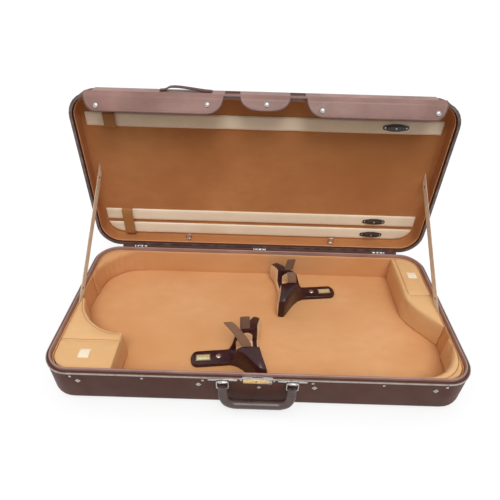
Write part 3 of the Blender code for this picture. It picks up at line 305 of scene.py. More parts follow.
# Each material's two colours, as the photograph shows them
COLOURS = {
    "dark_leatherette": ("#4a2b23", "#684236"),
    # The lip's and flap's mauve is the dark brown leatherette painted lighter, for light from above; the
    # piping's dark is its own
    "mauve_leather": ("#8f6a60", "#ad8a80"),
    "flap_leather": ("#7d564c", "#9f766c"),
    "piping_leather": ("#4f3631", "#66473f"),
    "grip_leather": ("#3b2925", "#55413b"),
    "tan_velour": ("#d69c67", "#e2ad7b"),
    "padding_velour": ("#dfae78", "#ebc08c"),
    "pad_velour": ("#dcb182", "#ecc89c"),
    # The lid's velour is the tan velour painted darker, as shade inside the open lid
    "lid_velour": ("#ae7142", "#c78957"),
    "loop_velour": ("#a8713f", "#c08b5c"),
    "cream_ribbon": ("#f3e0c2", "#fff0d9"),
    "beige_webbing": ("#e6dac4", "#fff4e2"),
    "glossy_vinyl": ("#321719", "#472223"),
    "hook_tape": ("#6b4835", "#8c6a52"),
    "chrome": ("#b8b4b0", "#827e7b"),
    "brass": ("#e2bd84", "#b98f55"),
    "satin_rim": ("#b3aaa2", "#8d857f"),
    "dark_rim": ("#5f504b", "#83736c"),
    "label_metal": ("#eadfb4", "#d8c98f"),
    "moulded_plastic": ("#2c211f", "#42332e"),
    "dark_enamel": ("#1c1210", "#2a1c18"),
    "tan_thread": ("#b98550", "#d8ab7c"),
    "brown_thread": ("#4b332e", "#6b4d45"),
    "cream_thread": ("#cbb798", "#efe2cf"),
    "seam_thread": ("#8b5a2d", "#a8733f"),
    "pale_thread": ("#a98a80", "#cfb0a5"),
    "peach_piping": ("#c98558", "#e2a273"),
}
SCUFF = "#8f6a60"
SHEEN = "#ffd9b8"
WHITE = "#ffffff"

# Light
SKY_LOW = 0.20
SKY_HIGH = 1.10
SKY_POWER = 1.4
KEY_LEVEL = 1.28
KEY_SPREAD = 28.0
KEY_LEAN = (33.0, 6.0)
FLOOR_ALBEDO = 0.34
FLOOR_SEEN = 1.02
FLOOR_REACH = 30.0

# Camera, set from the photograph
FOCAL_PIXELS = 410.8
CAMERA_AT = (-0.0124, -0.6307, 0.7193)
CAMERA_DOWN = math.radians(37.41)
CAMERA_TURN = math.radians(-0.18)
CAMERA_ROLL = math.radians(1.59)
FRAME_PIXELS = 500
CENTRE_PIXEL = (253.7, 246.2)


# Materials, each kept here under the name that its pieces ask for
LOOKS = {}


def shade(code):
    """A hex colour as the linear values a shader takes."""
    levels = [int(code[k:k + 2], 16) / 255 for k in (1, 3, 5)]
    return [c / 12.92 if c <= 0.04045 else ((c + 0.055) / 1.055) ** 2.4 for c in levels] + [1.0]


class Nodes:
    """A node tree, with short calls that add a node, join it up and give back one of its outputs."""

    def __init__(self, tree):
        self.nodes = tree.nodes
        self.links = tree.links

    def join(self, node, inputs):
        """Fills a node's inputs: a socket is linked, a hex code is a colour, and the rest are values."""
        for key, value in inputs.items():
            if isinstance(value, bpy.types.NodeSocket):
                self.links.new(value, node.inputs[key])
            else:
                node.inputs[key].default_value = shade(value) if isinstance(value, str) else value

    def add(self, kind, inputs, output=0, **settings):
        node = self.nodes.new(kind)
        for key, value in settings.items():
            setattr(node, key, value)
        self.join(node, inputs)
        return node.outputs[output]

    def combine(self, operation, first, second):
        return self.add("ShaderNodeMath", {0: first, 1: second}, operation=operation)

    def between(self, value, low, high, to_low=0.0, to_high=1.0):
        """A value's range stretched to another, and held at its ends."""
        inputs = {"Value": value, "From Min": low, "From Max": high, "To Min": to_low, "To Max": to_high}
        return self.add("ShaderNodeMapRange", inputs)

    def upright(self, vector):
        return self.add("ShaderNodeSeparateXYZ", {0: vector}, "Z")

    def seen_ray(self):
        """1 for a ray from the camera, off a shiny surface or through glass, else 0."""
        rays = self.nodes.new("ShaderNodeLightPath").outputs
        seen = self.combine("MAXIMUM", rays["Is Camera Ray"], rays["Is Glossy Ray"])
        return self.combine("MAXIMUM", seen, rays["Is Transmission Ray"])


class Look(Nodes):
    """One material in its two colours, laid out in the object's own coordinates."""

    def __init__(self, name):
        LOOKS[name] = bpy.data.materials.new(name)
        LOOKS[name].use_nodes = True
        super().__init__(LOOKS[name].node_tree)
        self.colours = COLOURS[name]
        self.place = self.add("ShaderNodeTexCoord", {}, "Object")

    def stretched(self, x, y, z):
        """Coordinates scaled unevenly, for streaks and fibres."""
        return self.add("ShaderNodeMapping", {"Vector": self.place, "Scale": (x, y, z)})

    def noise(self, scale, detail=3.0, place=None):
        inputs = {"Vector": place or self.place, "Scale": scale, "Detail": detail}
        return self.add("ShaderNodeTexNoise", inputs)

    def cells(self, scale):
        return self.add("ShaderNodeTexVoronoi", {"Vector": self.place, "Scale": scale})

    def ribs(self, axis, period, wander=0.0):
        """Parallel ribs across an axis, one every `period` metres."""
        scale = math.pi / 10 / period
        inputs = {"Vector": self.place, "Scale": scale, "Distortion": wander, "Detail Scale": 4.0}
        return self.add("ShaderNodeTexWave", inputs, bands_direction=axis)

    def mixed(self, share, first=None, second=None):
        """The look's own two colours, or two others, mixed by a share."""
        inputs = {0: share, 6: first or self.colours[0], 7: second or self.colours[1]}
        return self.add("ShaderNodeMix", inputs, 2, data_type="RGBA")

    def patches(self, scale, detail, low=0.3, high=0.7):
        """The two colours in soft patches."""
        return self.mixed(self.between(self.noise(scale, detail), low, high))

    def uneven(self, scale, low, high, detail=3.0):
        """A level that wanders between two values."""
        return self.between(self.noise(scale, detail), 0.3, 0.7, low, high)

    def height(self, value, depth, under=None):
        """A bump of `depth` metres, laid over another."""
        inputs = {"Height": value, "Distance": depth, "Strength": 1.0}
        if under is not None:
            inputs["Normal"] = under
        return self.add("ShaderNodeBump", inputs)

    def finish(self, colour, roughness, normal, **fixed):
        inputs = {"Base Color": colour, "Roughness": roughness, "Normal": normal}
        inputs.update({key.replace("_", " "): value for key, value in fixed.items()})
        self.join(self.nodes["Principled BSDF"], inputs)


def leatherette():
    """Dark brown covering: a pebbled grain, and paler scuffs along the bottom edge."""
    look = Look("dark_leatherette")
    low = look.between(look.upright(look.place), 0.009, 0.001)
    scuff = look.combine("MULTIPLY", low, look.between(look.noise(90.0, 6.0), 0.45, 0.70))
    plain = look.mixed(look.uneven(6.0, 0.25, 0.65))
    colour = look.mixed(look.combine("MULTIPLY", scuff, 0.55), plain, SCUFF)
    coarse = look.height(look.noise(14.0, 2.0), 0.0008)
    pebbles = look.height(look.cells(820.0), 0.00016, coarse)
    grain = look.height(look.noise(2400.0), 0.00005, pebbles)
    look.finish(colour, look.uneven(26.0, 0.46, 0.60), grain, Specular_IOR_Level=0.20)


def mauve_leather(name):
    """Softer mauve-brown covering, worn paler in patches; on the lip and flap the mauve is painted light, the
    dark brown leatherette drawn lighter as if lit from above, while the piping keeps its own darker colour.
    """
    look = Look(name)
    crease = look.height(look.noise(60.0, 4.0, look.stretched(0.4, 1.0, 1.0)), 0.0004)
    grain = look.height(look.cells(1100.0), 0.00010, crease)
    rough = look.uneven(40.0, 0.36, 0.50)
    look.finish(look.patches(11.0, 5.0, 0.30, 0.68), rough, grain, Coat_Weight=0.12, Coat_Roughness=0.30)


def grip_leather():
    """Smooth handled leather, its colour and shine uneven in soft patches."""
    look = Look("grip_leather")
    grain = look.height(look.cells(900.0), 0.00010)
    rough = look.uneven(80.0, 0.26, 0.38)
    look.finish(look.patches(45.0, 4.0), rough, grain, Coat_Weight=0.35, Coat_Roughness=0.28)


def velour(name):
    """Short brushed pile: faint hand marks, a fine nap and a soft sheen."""
    look = Look(name)
    marks = look.between(look.noise(5.5, 3.0, look.stretched(1.0, 1.4, 1.0)), 0.30, 0.70)
    brushed = look.noise(30.0, 3.0, look.stretched(1.0, 1.8, 1.8))
    share = look.combine("MULTIPLY", look.between(brushed, 0.3, 0.7, 0.60, 1.0), marks)
    pile = look.noise(1900.0, 2.0)
    soft = look.height(look.noise(38.0, 3.0), 0.00035)
    look.finish(
        look.mixed(share), look.between(pile, 0.3, 0.7, 0.82, 0.98), look.height(pile, 0.00022, soft),
        Sheen_Weight=0.22, Sheen_Roughness=0.45, Sheen_Tint=SHEEN, Specular_IOR_Level=0.15,
    )


def cream_ribbon():
    """Woven cream ribbon: fine ribs along it and a looser weft across."""
    look = Look("cream_ribbon")
    weave = look.combine("MULTIPLY", look.ribs("X", 0.0016, 0.6), look.ribs("Z", 0.0009, 0.2))
    share = look.combine("MULTIPLY", look.between(weave, 0.0, 1.0, 0.55, 1.0), look.uneven(16.0, 0.0, 1.0))
    rough = look.between(weave, 0.0, 1.0, 0.88, 0.68)
    look.finish(look.mixed(share), rough, look.height(weave, 0.00014), Sheen_Weight=0.12, Sheen_Roughness=0.4)


def webbing():
    """Flat beige webbing with a herringbone weave."""
    look = Look("beige_webbing")
    weave = look.combine("MAXIMUM", look.ribs("DIAGONAL", 0.0016), look.ribs("Z", 0.0011, 0.3))
    share = look.combine("MULTIPLY", weave, look.between(look.noise(50.0), 0.2, 0.7))
    look.finish(look.mixed(share), look.between(weave, 0.0, 1.0, 0.95, 0.75), look.height(weave, 0.0002))


def glossy_vinyl():
    """Dark plum-brown cradle covering, tight over its foam and shiny."""
    look = Look("glossy_vinyl")
    dents = look.height(look.noise(34.0, 2.0), 0.0007)
    grain = look.height(look.cells(1300.0), 0.00004, dents)
    look.finish(
        look.patches(22.0, 3.0, 0.35, 0.7), look.uneven(60.0, 0.24, 0.36, 4.0), grain,
        Specular_IOR_Level=0.24, Coat_Weight=0.20, Coat_Roughness=0.12,
    )


def hook_tape():
    """Brown fuzzy fastening tape: rows of tiny loops."""
    look = Look("hook_tape")
    fuzz = look.noise(700.0, 4.0)
    loops = look.combine("MULTIPLY", look.cells(1500.0), fuzz)
    look.finish(
        look.mixed(look.between(loops, 0.05, 0.35)), look.between(fuzz, 0.3, 0.7, 0.85, 1.0),
        look.height(loops, 0.0006), Sheen_Weight=0.25, Sheen_Roughness=0.5, Specular_IOR_Level=0.2,
    )


def metal(name, smooth_low, smooth_high):
    """Plated metal with faint brushing along its length and duller spots."""
    look = Look(name)
    spots = look.between(look.noise(120.0, 5.0), 0.42, 0.72)
    brushing = look.noise(1.0, 3.0, look.stretched(60.0, 1500.0, 1500.0))
    colour = look.mixed(look.combine("MULTIPLY", spots, 0.6))
    rough = look.between(look.combine("ADD", brushing, spots), 0.5, 1.5, smooth_low, smooth_high)
    look.finish(colour, rough, look.height(brushing, 0.00003), Metallic=1.0)


def dark_rim():
    """The lid's grey-brown painted rim strip, dulled by handling."""
    look = Look("dark_rim")
    rough = look.uneven(200.0, 0.34, 0.55, 4.0)
    look.finish(look.patches(70.0, 5.0, 0.4), rough, look.height(look.noise(600.0), 0.00004), Metallic=0.35)


def moulded_plastic(name):
    """Satin moulded plastic with a fine spark-eroded texture."""
    look = Look(name)
    grain = look.height(look.noise(2600.0, 2.0), 0.00005)
    look.finish(look.patches(150.0, 3.0), look.uneven(300.0, 0.30, 0.46), grain, Coat_Weight=0.10)


def label_metal():
    """The blank gold-cream label plate, thinly lacquered."""
    look = Look("label_metal")
    brushing = look.noise(1.0, 2.0, look.stretched(90.0, 2200.0, 2200.0))
    rough = look.between(brushing, 0.3, 0.7, 0.30, 0.46)
    grain = look.height(look.noise(900.0), 0.00002)
    look.finish(look.patches(160.0, 4.0), rough, grain, Metallic=0.45, Coat_Weight=0.3)


def thread(name):
    """Twisted sewing thread."""
    look = Look(name)
    twist = look.ribs("DIAGONAL", 0.0007)
    look.finish(look.mixed(twist), look.between(twist, 0.0, 1.0, 0.8, 0.6), look.height(twist, 0.0001))


def make_materials():
    """Every material, made once; a piece asks for its own by name."""
    leatherette()
    for name in ("mauve_leather", "flap_leather", "piping_leather"):
        mauve_leather(name)
    grip_leather()
    for name in ("tan_velour", "padding_velour", "pad_velour", "lid_velour", "loop_velour"):
        velour(name)
    cream_ribbon()
    webbing()
    glossy_vinyl()
    hook_tape()
    metal("chrome", 0.16, 0.34)
    metal("brass", 0.24, 0.42)
    metal("satin_rim", 0.34, 0.50)
    dark_rim()
    label_metal()
    moulded_plastic("moulded_plastic")
    moulded_plastic("dark_enamel")
    for name in ("tan_thread", "brown_thread", "cream_thread", "seam_thread", "pale_thread", "peach_piping"):
        thread(name)


# Shapes

def shown(name, data):
    """A new object in the scene."""
    made = bpy.data.objects.new(name, data)
    bpy.context.scene.collection.objects.link(made)
    return made


def add_piece(name, points, faces, look, body, slot, replaces=()):
    """A mesh in its named look that rides on a body and stands for CAD nodes."""
    mesh = bpy.data.meshes.new(name)
    mesh.from_pydata([tuple(p) for p in points], [], faces)
    mesh.update()
    return settle(shown(name, mesh), look, body, replaces)


def settle(made, look, body, replaces):
    """Gives a piece its look, smooth except where faces meet sharply, and ties it to its body and nodes."""
    made.data.materials.clear()
    made.data.materials.append(LOOKS[look])
    made.data.polygons.foreach_set("use_smooth", [True] * len(made.data.polygons))
    made.data.set_sharp_from_angle(angle=SHARP_TURN)
    if body:
        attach(made, body)
    if replaces:
        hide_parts(*replaces)
    return made


def skin(loops, joined=False):
    """Faces over a row of loops, closed by end caps or by joining the last loop to the first."""
    width = len(loops[0])
    points = [p for loop in loops for p in loop]
    faces = []
    for i in range(len(loops) if joined else len(loops) - 1):
        here = i * width
        there = (i + 1) % len(loops) * width
        for j in range(width):
            k = (j + 1) % width
            faces.append((here + j, here + k, there + k, there + j))
    if not joined:
        faces.append(tuple(reversed(range(width))))
        faces.append(tuple(len(points) - width + j for j in range(width)))
    return points, faces


def together(*shapes):
    """Several shapes as one."""
    points, faces = [], []
    for more_points, more_faces in shapes:
        start = len(points)
        points += more_points
        faces += [tuple(start + k for k in face) for face in more_faces]
    return points, faces


def smooth(t):
    t = max(0.0, min(1.0, t))
    return t * t * (3 - 2 * t)


def arc(cx, cy, radius, start, end, steps):
    turns = [math.radians(start + (end - start) * k / steps) for k in range(steps + 1)]
    return [(cx + radius * math.cos(t), cy + radius * math.sin(t)) for t in turns]


def circle(centre, side, up, radius, sides):
    turns = [math.tau * j / sides for j in range(sides)]
    return [centre + radius * (side * math.cos(t) + up * math.sin(t)) for t in turns]


def sideways(along, spare):
    """A way square to a direction; `spare` stands in for upright where the direction is nearly that."""
    return along.cross(Vector((0, 0, 1)) if abs(along.z) < 0.9 else Vector(spare)).normalized()


def direction(path, k):
    """The way a path runs at its point k."""
    return (Vector(path[min(k + 1, len(path) - 1)]) - Vector(path[max(k - 1, 0)])).normalized()


def plan_outline(inset):
    """The case's plan outline moved in by `inset`, with points along its straight sides too."""
    radius = max(0.002, CORNER_RADIUS - inset)
    x = HALF_X - inset - radius
    y = HALF_Y - inset - radius
    places = ((x, y), (-x, y), (-x, -y), (x, -y))
    corners = [arc(*at, radius, 90 * k, 90 * k + 90, CORNER_STEPS) for k, at in enumerate(places)]
    outline = []
    for k, corner in enumerate(corners):
        outline += corner
        ahead = Vector(corners[(k + 1) % 4][0])
        last = Vector(corner[-1])
        count = SIDE_STEPS if k % 2 == 0 else SIDE_STEPS // 2
        outline += [tuple(last.lerp(ahead, j / count)) for j in range(1, count)]
    return outline


def raised(point):
    """A point of the shut lid, with the lid stood up."""
    x, y, z = point
    return (x, AXIS_Y + z - AXIS_Z, AXIS_Z + AXIS_Y - y)


def rounds(pairs, place=tuple):
    """Loops that go round the case, one for each (inset, z) of a cross-section."""
    return [[place((x, y, z)) for x, y in plan_outline(inset)] for inset, z in pairs]


def tube(path, radius, sides, closed=False, place=tuple):
    """A round cord of piping or wire along a path."""
    loops = []
    for k, here in enumerate(path):
        if closed:
            along = (Vector(path[(k + 1) % len(path)]) - Vector(path[k - 1])).normalized()
        else:
            along = direction(path, k)
        side = sideways(along, (0, 1, 0))
        loops.append([place(p) for p in circle(Vector(here), side, side.cross(along), radius, sides)])
    return skin(loops, joined=closed)


def lathe(profile, centre, axis, sides, lobes=0, depth=0.0, place=tuple):
    """A turned head: profile is (radius, height) from its foot to its tip; lobes wave its edge in."""
    axis = Vector(axis).normalized()
    side = sideways(axis, (1, 0, 0))
    across = axis.cross(side)
    loops = []
    for radius, height in profile:
        loops.append([])
        for j in range(sides):
            turn = math.tau * j / sides
            reach = radius * (1 - depth * (0.5 - 0.5 * math.cos(lobes * turn)))
            offset = side * math.cos(turn) * reach + across * math.sin(turn) * reach
            loops[-1].append(place(Vector(centre) + offset + axis * height))
    return skin(loops)


def heads(name, profile, centres, axis, sides, body):
    """A group of turned chrome heads as one piece."""
    shapes = [lathe(profile, centre, axis, sides) for centre in centres]
    add_piece(name, *together(*shapes), "chrome", body, "bright_metal")


def ribbon(path, across, width, thickness, taper=0.0):
    """A flat strap with soft edges along a path; `across` is one way over it, or one for each point."""
    loops = []
    for k, here in enumerate(path):
        side = Vector(across[k] if isinstance(across, list) else across)
        out = direction(path, k).cross(side).normalized()
        end = min(k, len(path) - 1 - k) / STRAP_TAPER_POINTS
        half = width / 2 * (1 - taper * max(0.0, 1 - end))
        thin = STRAP_END_THINNING if end == 0 else 1.0
        section = []
        for face in (1, -1):
            for share in STRAP_SHARES[::face]:
                rise = face * thickness / 2 * thin * (1 - STRAP_THINNING * abs(share) ** 8)
                section.append(Vector(here) + side * share * half + out * rise)
        loops.append(section)
    return skin(loops)


def stitches(path, spacing, length, radius, lift, place=tuple):
    """A row of raised stitches along a path, `lift` being the way the surface faces."""
    lengths = [0.0]
    for k in range(1, len(path)):
        lengths.append(lengths[-1] + (Vector(path[k]) - Vector(path[k - 1])).length)
    shapes = []
    at = spacing
    k = 1
    while at < lengths[-1] - spacing:
        while lengths[k] < at:
            k += 1
        start, end = Vector(path[k - 1]), Vector(path[k])
        along = (end - start).normalized()
        middle = start.lerp(end, (at - lengths[k - 1]) / (lengths[k] - lengths[k - 1]))
        out = Vector(lift).normalized()
        side = along.cross(out).normalized()
        loops = []
        for share, size in STITCH_FORM:
            here = middle + along * share * length / 2
            loops.append([place(p) for p in circle(here, side, out, radius * size, 6)])
        shapes.append(skin(loops))
        at += spacing
    return together(*shapes)


def ruffle(made, depth, scale, seed=0.0):
    """Slight unevenness in a soft surface: each point moves by up to `depth` along its normal."""
    mesh = made.data
    normals = [n.vector.copy() for n in mesh.vertex_normals]
    for vertex, normal in zip(mesh.vertices, normals):
        vertex.co += normal * depth * noise.noise(vertex.co * scale + Vector((seed, 0, 0)))
    mesh.update()
    return made


# Stuffed pieces

def baked(made):
    """The object's modifiers worked into its mesh."""
    graph = bpy.context.evaluated_depsgraph_get()
    finished = bpy.data.meshes.new_from_object(made.evaluated_get(graph))
    made.modifiers.clear()
    made.data = finished
    return made


def modify(made, kind, **settings):
    """Puts one more modifier on the object."""
    modifier = made.modifiers.new(kind.lower(), kind)
    for key, value in settings.items():
        setattr(modifier, key, value)


def evened(node, name, voxel):
    """A node's shape in even small squares, slightly shrunk."""
    made = shown(name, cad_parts[node].data.copy())
    modify(made, "WELD", merge_threshold=0.00002)
    modify(made, "REMESH", mode="VOXEL", voxel_size=voxel)
    modify(made, "SMOOTH", factor=0.5, iterations=2)
    return baked(made)


def eased(made, held, times):
    """The piece with its free edges rounded off, by smoothing the points that nothing holds."""
    group = made.vertex_groups.new(name="free")
    for vertex in made.data.vertices:
        if not held(vertex.co, vertex.normal):
            group.add([vertex.index], 1.0, "ADD")
    modify(made, "SMOOTH", vertex_group="free", factor=0.5, iterations=times)
    return baked(made)


def pumped(made, held, cap, pressure):
    """Cloth blown up from inside while the held points stay; no point moves further than `cap`."""
    rest = [v.co.copy() for v in made.data.vertices]
    normals = [n.vector.copy() for n in made.data.vertex_normals]
    group = made.vertex_groups.new(name="held")
    for vertex, normal in zip(made.data.vertices, normals):
        if held(vertex.co, normal):
            group.add([vertex.index], 1.0, "ADD")
    cloth = made.modifiers.new("cloth", "CLOTH")
    cloth.settings.use_pressure = True
    cloth.settings.uniform_pressure_force = pressure
    cloth.settings.effector_weights.gravity = 0.0
    cloth.settings.vertex_group_mass = "held"
    cloth.settings.quality = 5
    cloth.point_cache.frame_end = CLOTH_STEPS
    for step in range(1, CLOTH_STEPS + 1):
        bpy.context.scene.frame_set(step)
    baked(made)
    bpy.context.scene.frame_set(1)
    for vertex, start in zip(made.data.vertices, rest):
        move = vertex.co - start
        if move.length > 1e-9:
            vertex.co = start + move.normalized() * cap * math.tanh(move.length / cap)
    return made


def stuffed(kind, node, name, held, body="base", shape=None, crease=None):
    """A padded velour piece in a CAD node's place: remeshed, rounded off and blown up a little."""
    look, voxel, ease, pressure, cap, fill = STUFFING[kind]
    made = evened(node, name, voxel)
    if ease:
        eased(made, held, ease)
    pumped(made, held, cap, pressure)
    if shape:
        for vertex in made.data.vertices:
            vertex.co = shape(vertex.co)
    modify(made, "SUBSURF", levels=1, render_levels=1)
    baked(made)
    if crease:
        for vertex in made.data.vertices:
            vertex.co = crease(vertex.co)
    settle(made, look, body, [node])
    return made


def sewn_on(made, name, plan):
    """A seam's cord laid over the top of a stuffed piece on the base, along (x, y) points."""
    tree = BVHTree.FromPolygons([v.co for v in made.data.vertices], [p.vertices for p in made.data.polygons])
    path = []
    for x, y in plan:
        found = tree.ray_cast(Vector((x, y, 0.2)), Vector((0, 0, -1)))[0]
        if found is not None and found.z > PADDED_TOP - TOP_BAND["cord"]:
            path.append(found)
    add_piece(name, *tube(path, SEAM_CORD, 6), "seam_thread", "base", "velour")


def sewn(name, rows, look, body, slot, size, lift, place=tuple):
    """Rows of stitches as one piece; size is their spacing, length and radius."""
    shapes = [stitches(row, *size, lift, place) for row in rows]
    add_piece(name, *together(*shapes), look, body, slot)


# Base

def make_base_lining():
    """Velour over foam: soft at the rim, tucked in along the foot of the walls."""
    edge = LINING_TOP - LINING_EDGE_DROP
    pairs = [(inset, LINING_FOOT) for inset in (*BACKING_RINGS, LINING_OUTER + LINING_BEVEL)]
    pairs += [(LINING_OUTER, LINING_FOOT + LINING_BEVEL), (LINING_OUTER, LINING_MIDDLE)]
    pairs += [(LINING_OUTER + inward, LINING_TOP + up) for inward, up in LINING_EDGE]
    pairs += [(ROOM_INSET, edge - (edge - FLOOR) * k / 12) for k in range(12)]
    pairs += [(ROOM_INSET + inward, FLOOR + up) for inward, up in LINING_TUCK]
    pairs += [(ROOM_INSET + FLOOR_EDGE + FLOOR_RING * k, FLOOR) for k in range(14)]
    made = add_piece("tan_base_lining", *skin(rounds(pairs)), "tan_velour", "base", "velour", ["base_lining"])
    ruffle(made, 0.0003, 26.0)


def make_base_lip():
    """The covered lip that the lid closes over, rounded along its top."""
    middle = (LIP_OUTER + LIP_INNER) / 2
    half = (LIP_INNER - LIP_OUTER) / 2
    turns = np.linspace(0, math.pi, 11)
    pairs = [(middle - half * math.cos(t), LIP_TOP - half + half * math.sin(t)) for t in turns]
    pairs += [(LIP_INNER, 0.060), (LIP_INNER, LIP_FOOT), (LIP_OUTER, LIP_FOOT), (LIP_OUTER, 0.060)]
    shape = skin(rounds(pairs), joined=True)
    # The lip's mauve is painted light from above on the dark brown leatherette
    made = add_piece("padded_lip", *shape, "mauve_leather", "base", "leatherette", ["base_lip"])
    ruffle(made, 0.00012, 34.0)


def make_rim_edging():
    """The dark covering between the rim strip's bright edge and the lip, open at the lock."""
    loops = []
    for inset, rise in EDGING:
        outline = plan_outline(inset)
        shut = [k for k, (x, y) in enumerate(outline) if y < 0 and abs(x) < LOCK_HALF]
        front = inset - HALF_Y
        outline = [(LOCK_HALF, front)] + outline[shut[-1] + 1:] + outline[:shut[0]] + [(-LOCK_HALF, front)]
        loops.append([(x, y, RIM + rise) for x, y in outline])
    strip = [list(section) for section in zip(*loops)]
    add_piece("rim_edging", *skin(strip), "dark_leatherette", "base", "leatherette")


def near_wall(point):
    """True where a point of a base piece rests against the lining's walls or floor."""
    outward = abs(point.x) > ROOM_X - PAD_MARGIN or abs(point.y) > ROOM_Y - PAD_MARGIN
    corner = Vector((abs(point.x) - (HALF_X - CORNER_RADIUS), abs(point.y) - (HALF_Y - CORNER_RADIUS)))
    in_corner = min(corner) > 0 and corner.length > CORNER_RADIUS - ROOM_INSET - PAD_MARGIN
    return outward or in_corner or point.z < FLOOR + FOOT_MARGIN


def ease_into_wall(point):
    """The rear cushion thins to nothing along the back wall, so that the two read as one bolster."""
    thick, thin = BOLSTER_THINS
    share = smooth((point.x - thick) / (thin - thick))
    back = ROOM_Y - 0.0006
    return Vector((point.x, point.y + (back - point.y) * BOLSTER_THINNING * share, point.z))


def bolster_seam(turn):
    """How far the front cushion's seam is from the middle of the seat, `turn` round it in radians."""
    return SEAT_RADIUS + SEAM_TIP + (SEAM_MIDDLE - SEAM_TIP) * abs(math.sin(2 * turn))


def crease_bolster(point):
    """The front cushion's roll along the seat and the sewn channel behind it."""
    x, y = point.x - SEAT_AT[0], point.y - SEAT_AT[1]
    seam = bolster_seam(math.atan2(y, x))
    out = math.hypot(x, y)
    if point.z < PADDED_TOP - TOP_BAND["bolster"] or x < 0 or y > 0:
        return point
    roll = ROLL_RISE * math.sin(math.pi * min(1.0, max(0.0, (out - SEAT_RADIUS) / (seam - SEAT_RADIUS))))
    return point + Vector((0, 0, roll - SEAM_DEPTH * math.exp(-((out - seam) / SEAM_WIDTH) ** 2)))


def make_cushions():
    """A bolster that thins into the back wall, and one with a sewn roll along its seat."""
    def held(point, facing):
        return near_wall(point)

    stuffed("rear_cushion", "rear_left_cushion", "stuffed_rear_left_cushion", held, shape=ease_into_wall)
    front = "front_right_cushion"
    made = stuffed("front_cushion", front, "stuffed_" + front, held, crease=crease_bolster)
    plan = []
    for k in range(41):
        turn = math.radians(-87 + 84 * k / 40)
        out = bolster_seam(turn)
        plan.append((SEAT_AT[0] + out * math.cos(turn), SEAT_AT[1] + out * math.sin(turn)))
    sewn_on(made, "front_cushion_seam", plan)


def make_blocks():
    """The two corner blocks, firm with softly rounded tops; a pocket's ledges stay flat."""
    radius = BLOCK_SEAT_RADIUS + BLOCK_SEAM

    def left_held(point, facing):
        at_pocket = point.y < LEFT_POCKET_Y and (point.z < PADDED_TOP - TOP_BAND["ledge"] or facing.y < -0.5)
        return near_wall(point) or at_pocket or facing.z < -0.3

    def right_held(point, facing):
        in_pocket = point.x > RIGHT_POCKET[0] and point.y > RIGHT_POCKET[1]
        return near_wall(point) or (in_pocket and facing.z > -0.2) or facing.z < -0.3

    def crease_block(point):
        """Sewn channels along the seat and along the pocket."""
        if point.z < PADDED_TOP - TOP_BAND["block"]:
            return point
        to_seat = math.hypot(point.x - BLOCK_SEAT_AT[0], point.y - BLOCK_SEAT_AT[1]) - radius
        nearest = min(abs(to_seat), abs(point.y - BLOCK_SEAM_Y))
        return point - Vector((0, 0, BLOCK_SEAM_DEPTH * math.exp(-((nearest / SEAM_WIDTH) ** 2))))

    left = "front_left_block"
    made = stuffed("left_block", left, "stuffed_" + left, left_held, crease=crease_block)
    sewn_on(made, "block_seat_seam", arc(*BLOCK_SEAT_AT, radius, 267, 190, 40))
    start = BLOCK_SEAT_AT[0] - 0.005
    reach = 0.007 - ROOM_X - BLOCK_SEAT_AT[0]
    sewn_on(made, "block_pocket_seam", [(start + reach * k / 30, BLOCK_SEAM_Y) for k in range(31)])
    stuffed("right_block", "rear_right_block", "stuffed_rear_right_block", right_held)


def make_pocket_lids():
    """Padded pocket lids, crowned on top, each with a folded ribbon pull sewn at one edge."""
    def held(point, facing):
        return facing.z < 0.5 or point.z < PADDED_TOP - TOP_BAND["lid"]

    for where in ("front", "rear"):
        lid = where + "_pocket_lid"
        pull = where + "_ribbon_pull"
        stuffed("pocket_lid", lid, "stuffed_" + lid, held, lid)
        low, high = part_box(where + "_pocket_tab")
        middle = (low + high) / 2
        half = (high - low) / 2
        path = []
        for k in range(13):
            t = -1 + k / 6
            z = low.z + PULL_SHEET + PULL_BULGE * (1 - t * t)
            path.append(Vector((middle.x, middle.y + half.y * t, z)))
        tab = ribbon(path, (1, 0, 0), half.x * 2, PULL_SHEET)
        made = add_piece(pull, *tab, "cream_ribbon", lid, "cream_ribbon", [where + "_pocket_tab"])
        deep, wide, up = PULL_ROW
        row = [(middle.x + side * half.x * wide, middle.y + half.y * deep, low.z + up) for side in (-1, 1)]
        sewn(where + "_pull_stitches", [row], "cream_thread", lid, "cream_ribbon", PULL_STITCH, (0, 0, 1))


# Neck cradles

def cradle_frame(where):
    foot, heading = CRADLES[where]
    return Matrix.Translation(foot) @ Matrix.Rotation(math.radians(heading), 4, "Z")


def make_cradle_pads():
    """The padded faces that the shoulders rest on and the padded channels for the necks."""
    for where in CRADLES:
        back = cradle_frame(where).inverted()

        def face_held(point, facing):
            return (back.to_3x3() @ facing).x < 0.25

        def channel_held(point, facing):
            local = back @ point
            way = back.to_3x3() @ facing
            return local.z < 0.013 or way.z < -0.3 or way.y * local.y > 0.2 * abs(local.y)

        stuffed("shoulder_pad", where + "_shoulder_pad", where + "_puffed_face", face_held)
        stuffed("neck_pad", where + "_neck_pad", where + "_puffed_channel", channel_held)


def strap_path(side, length, lean, curl, drift):
    """A neck strap's centre line in its cradle's frame."""
    v = side * STRAP_FOOT_V
    w = STRAP_FOOT_W
    path = []
    for k in range(STRAP_STEPS + 1):
        along = k / STRAP_STEPS
        angle = lean + curl * along
        path.append(Vector((STRAP_AT + drift * along ** 1.3, v, w)))
        v += -side * math.sin(angle) * length / STRAP_STEPS
        w += math.cos(angle) * length / STRAP_STEPS
    return path


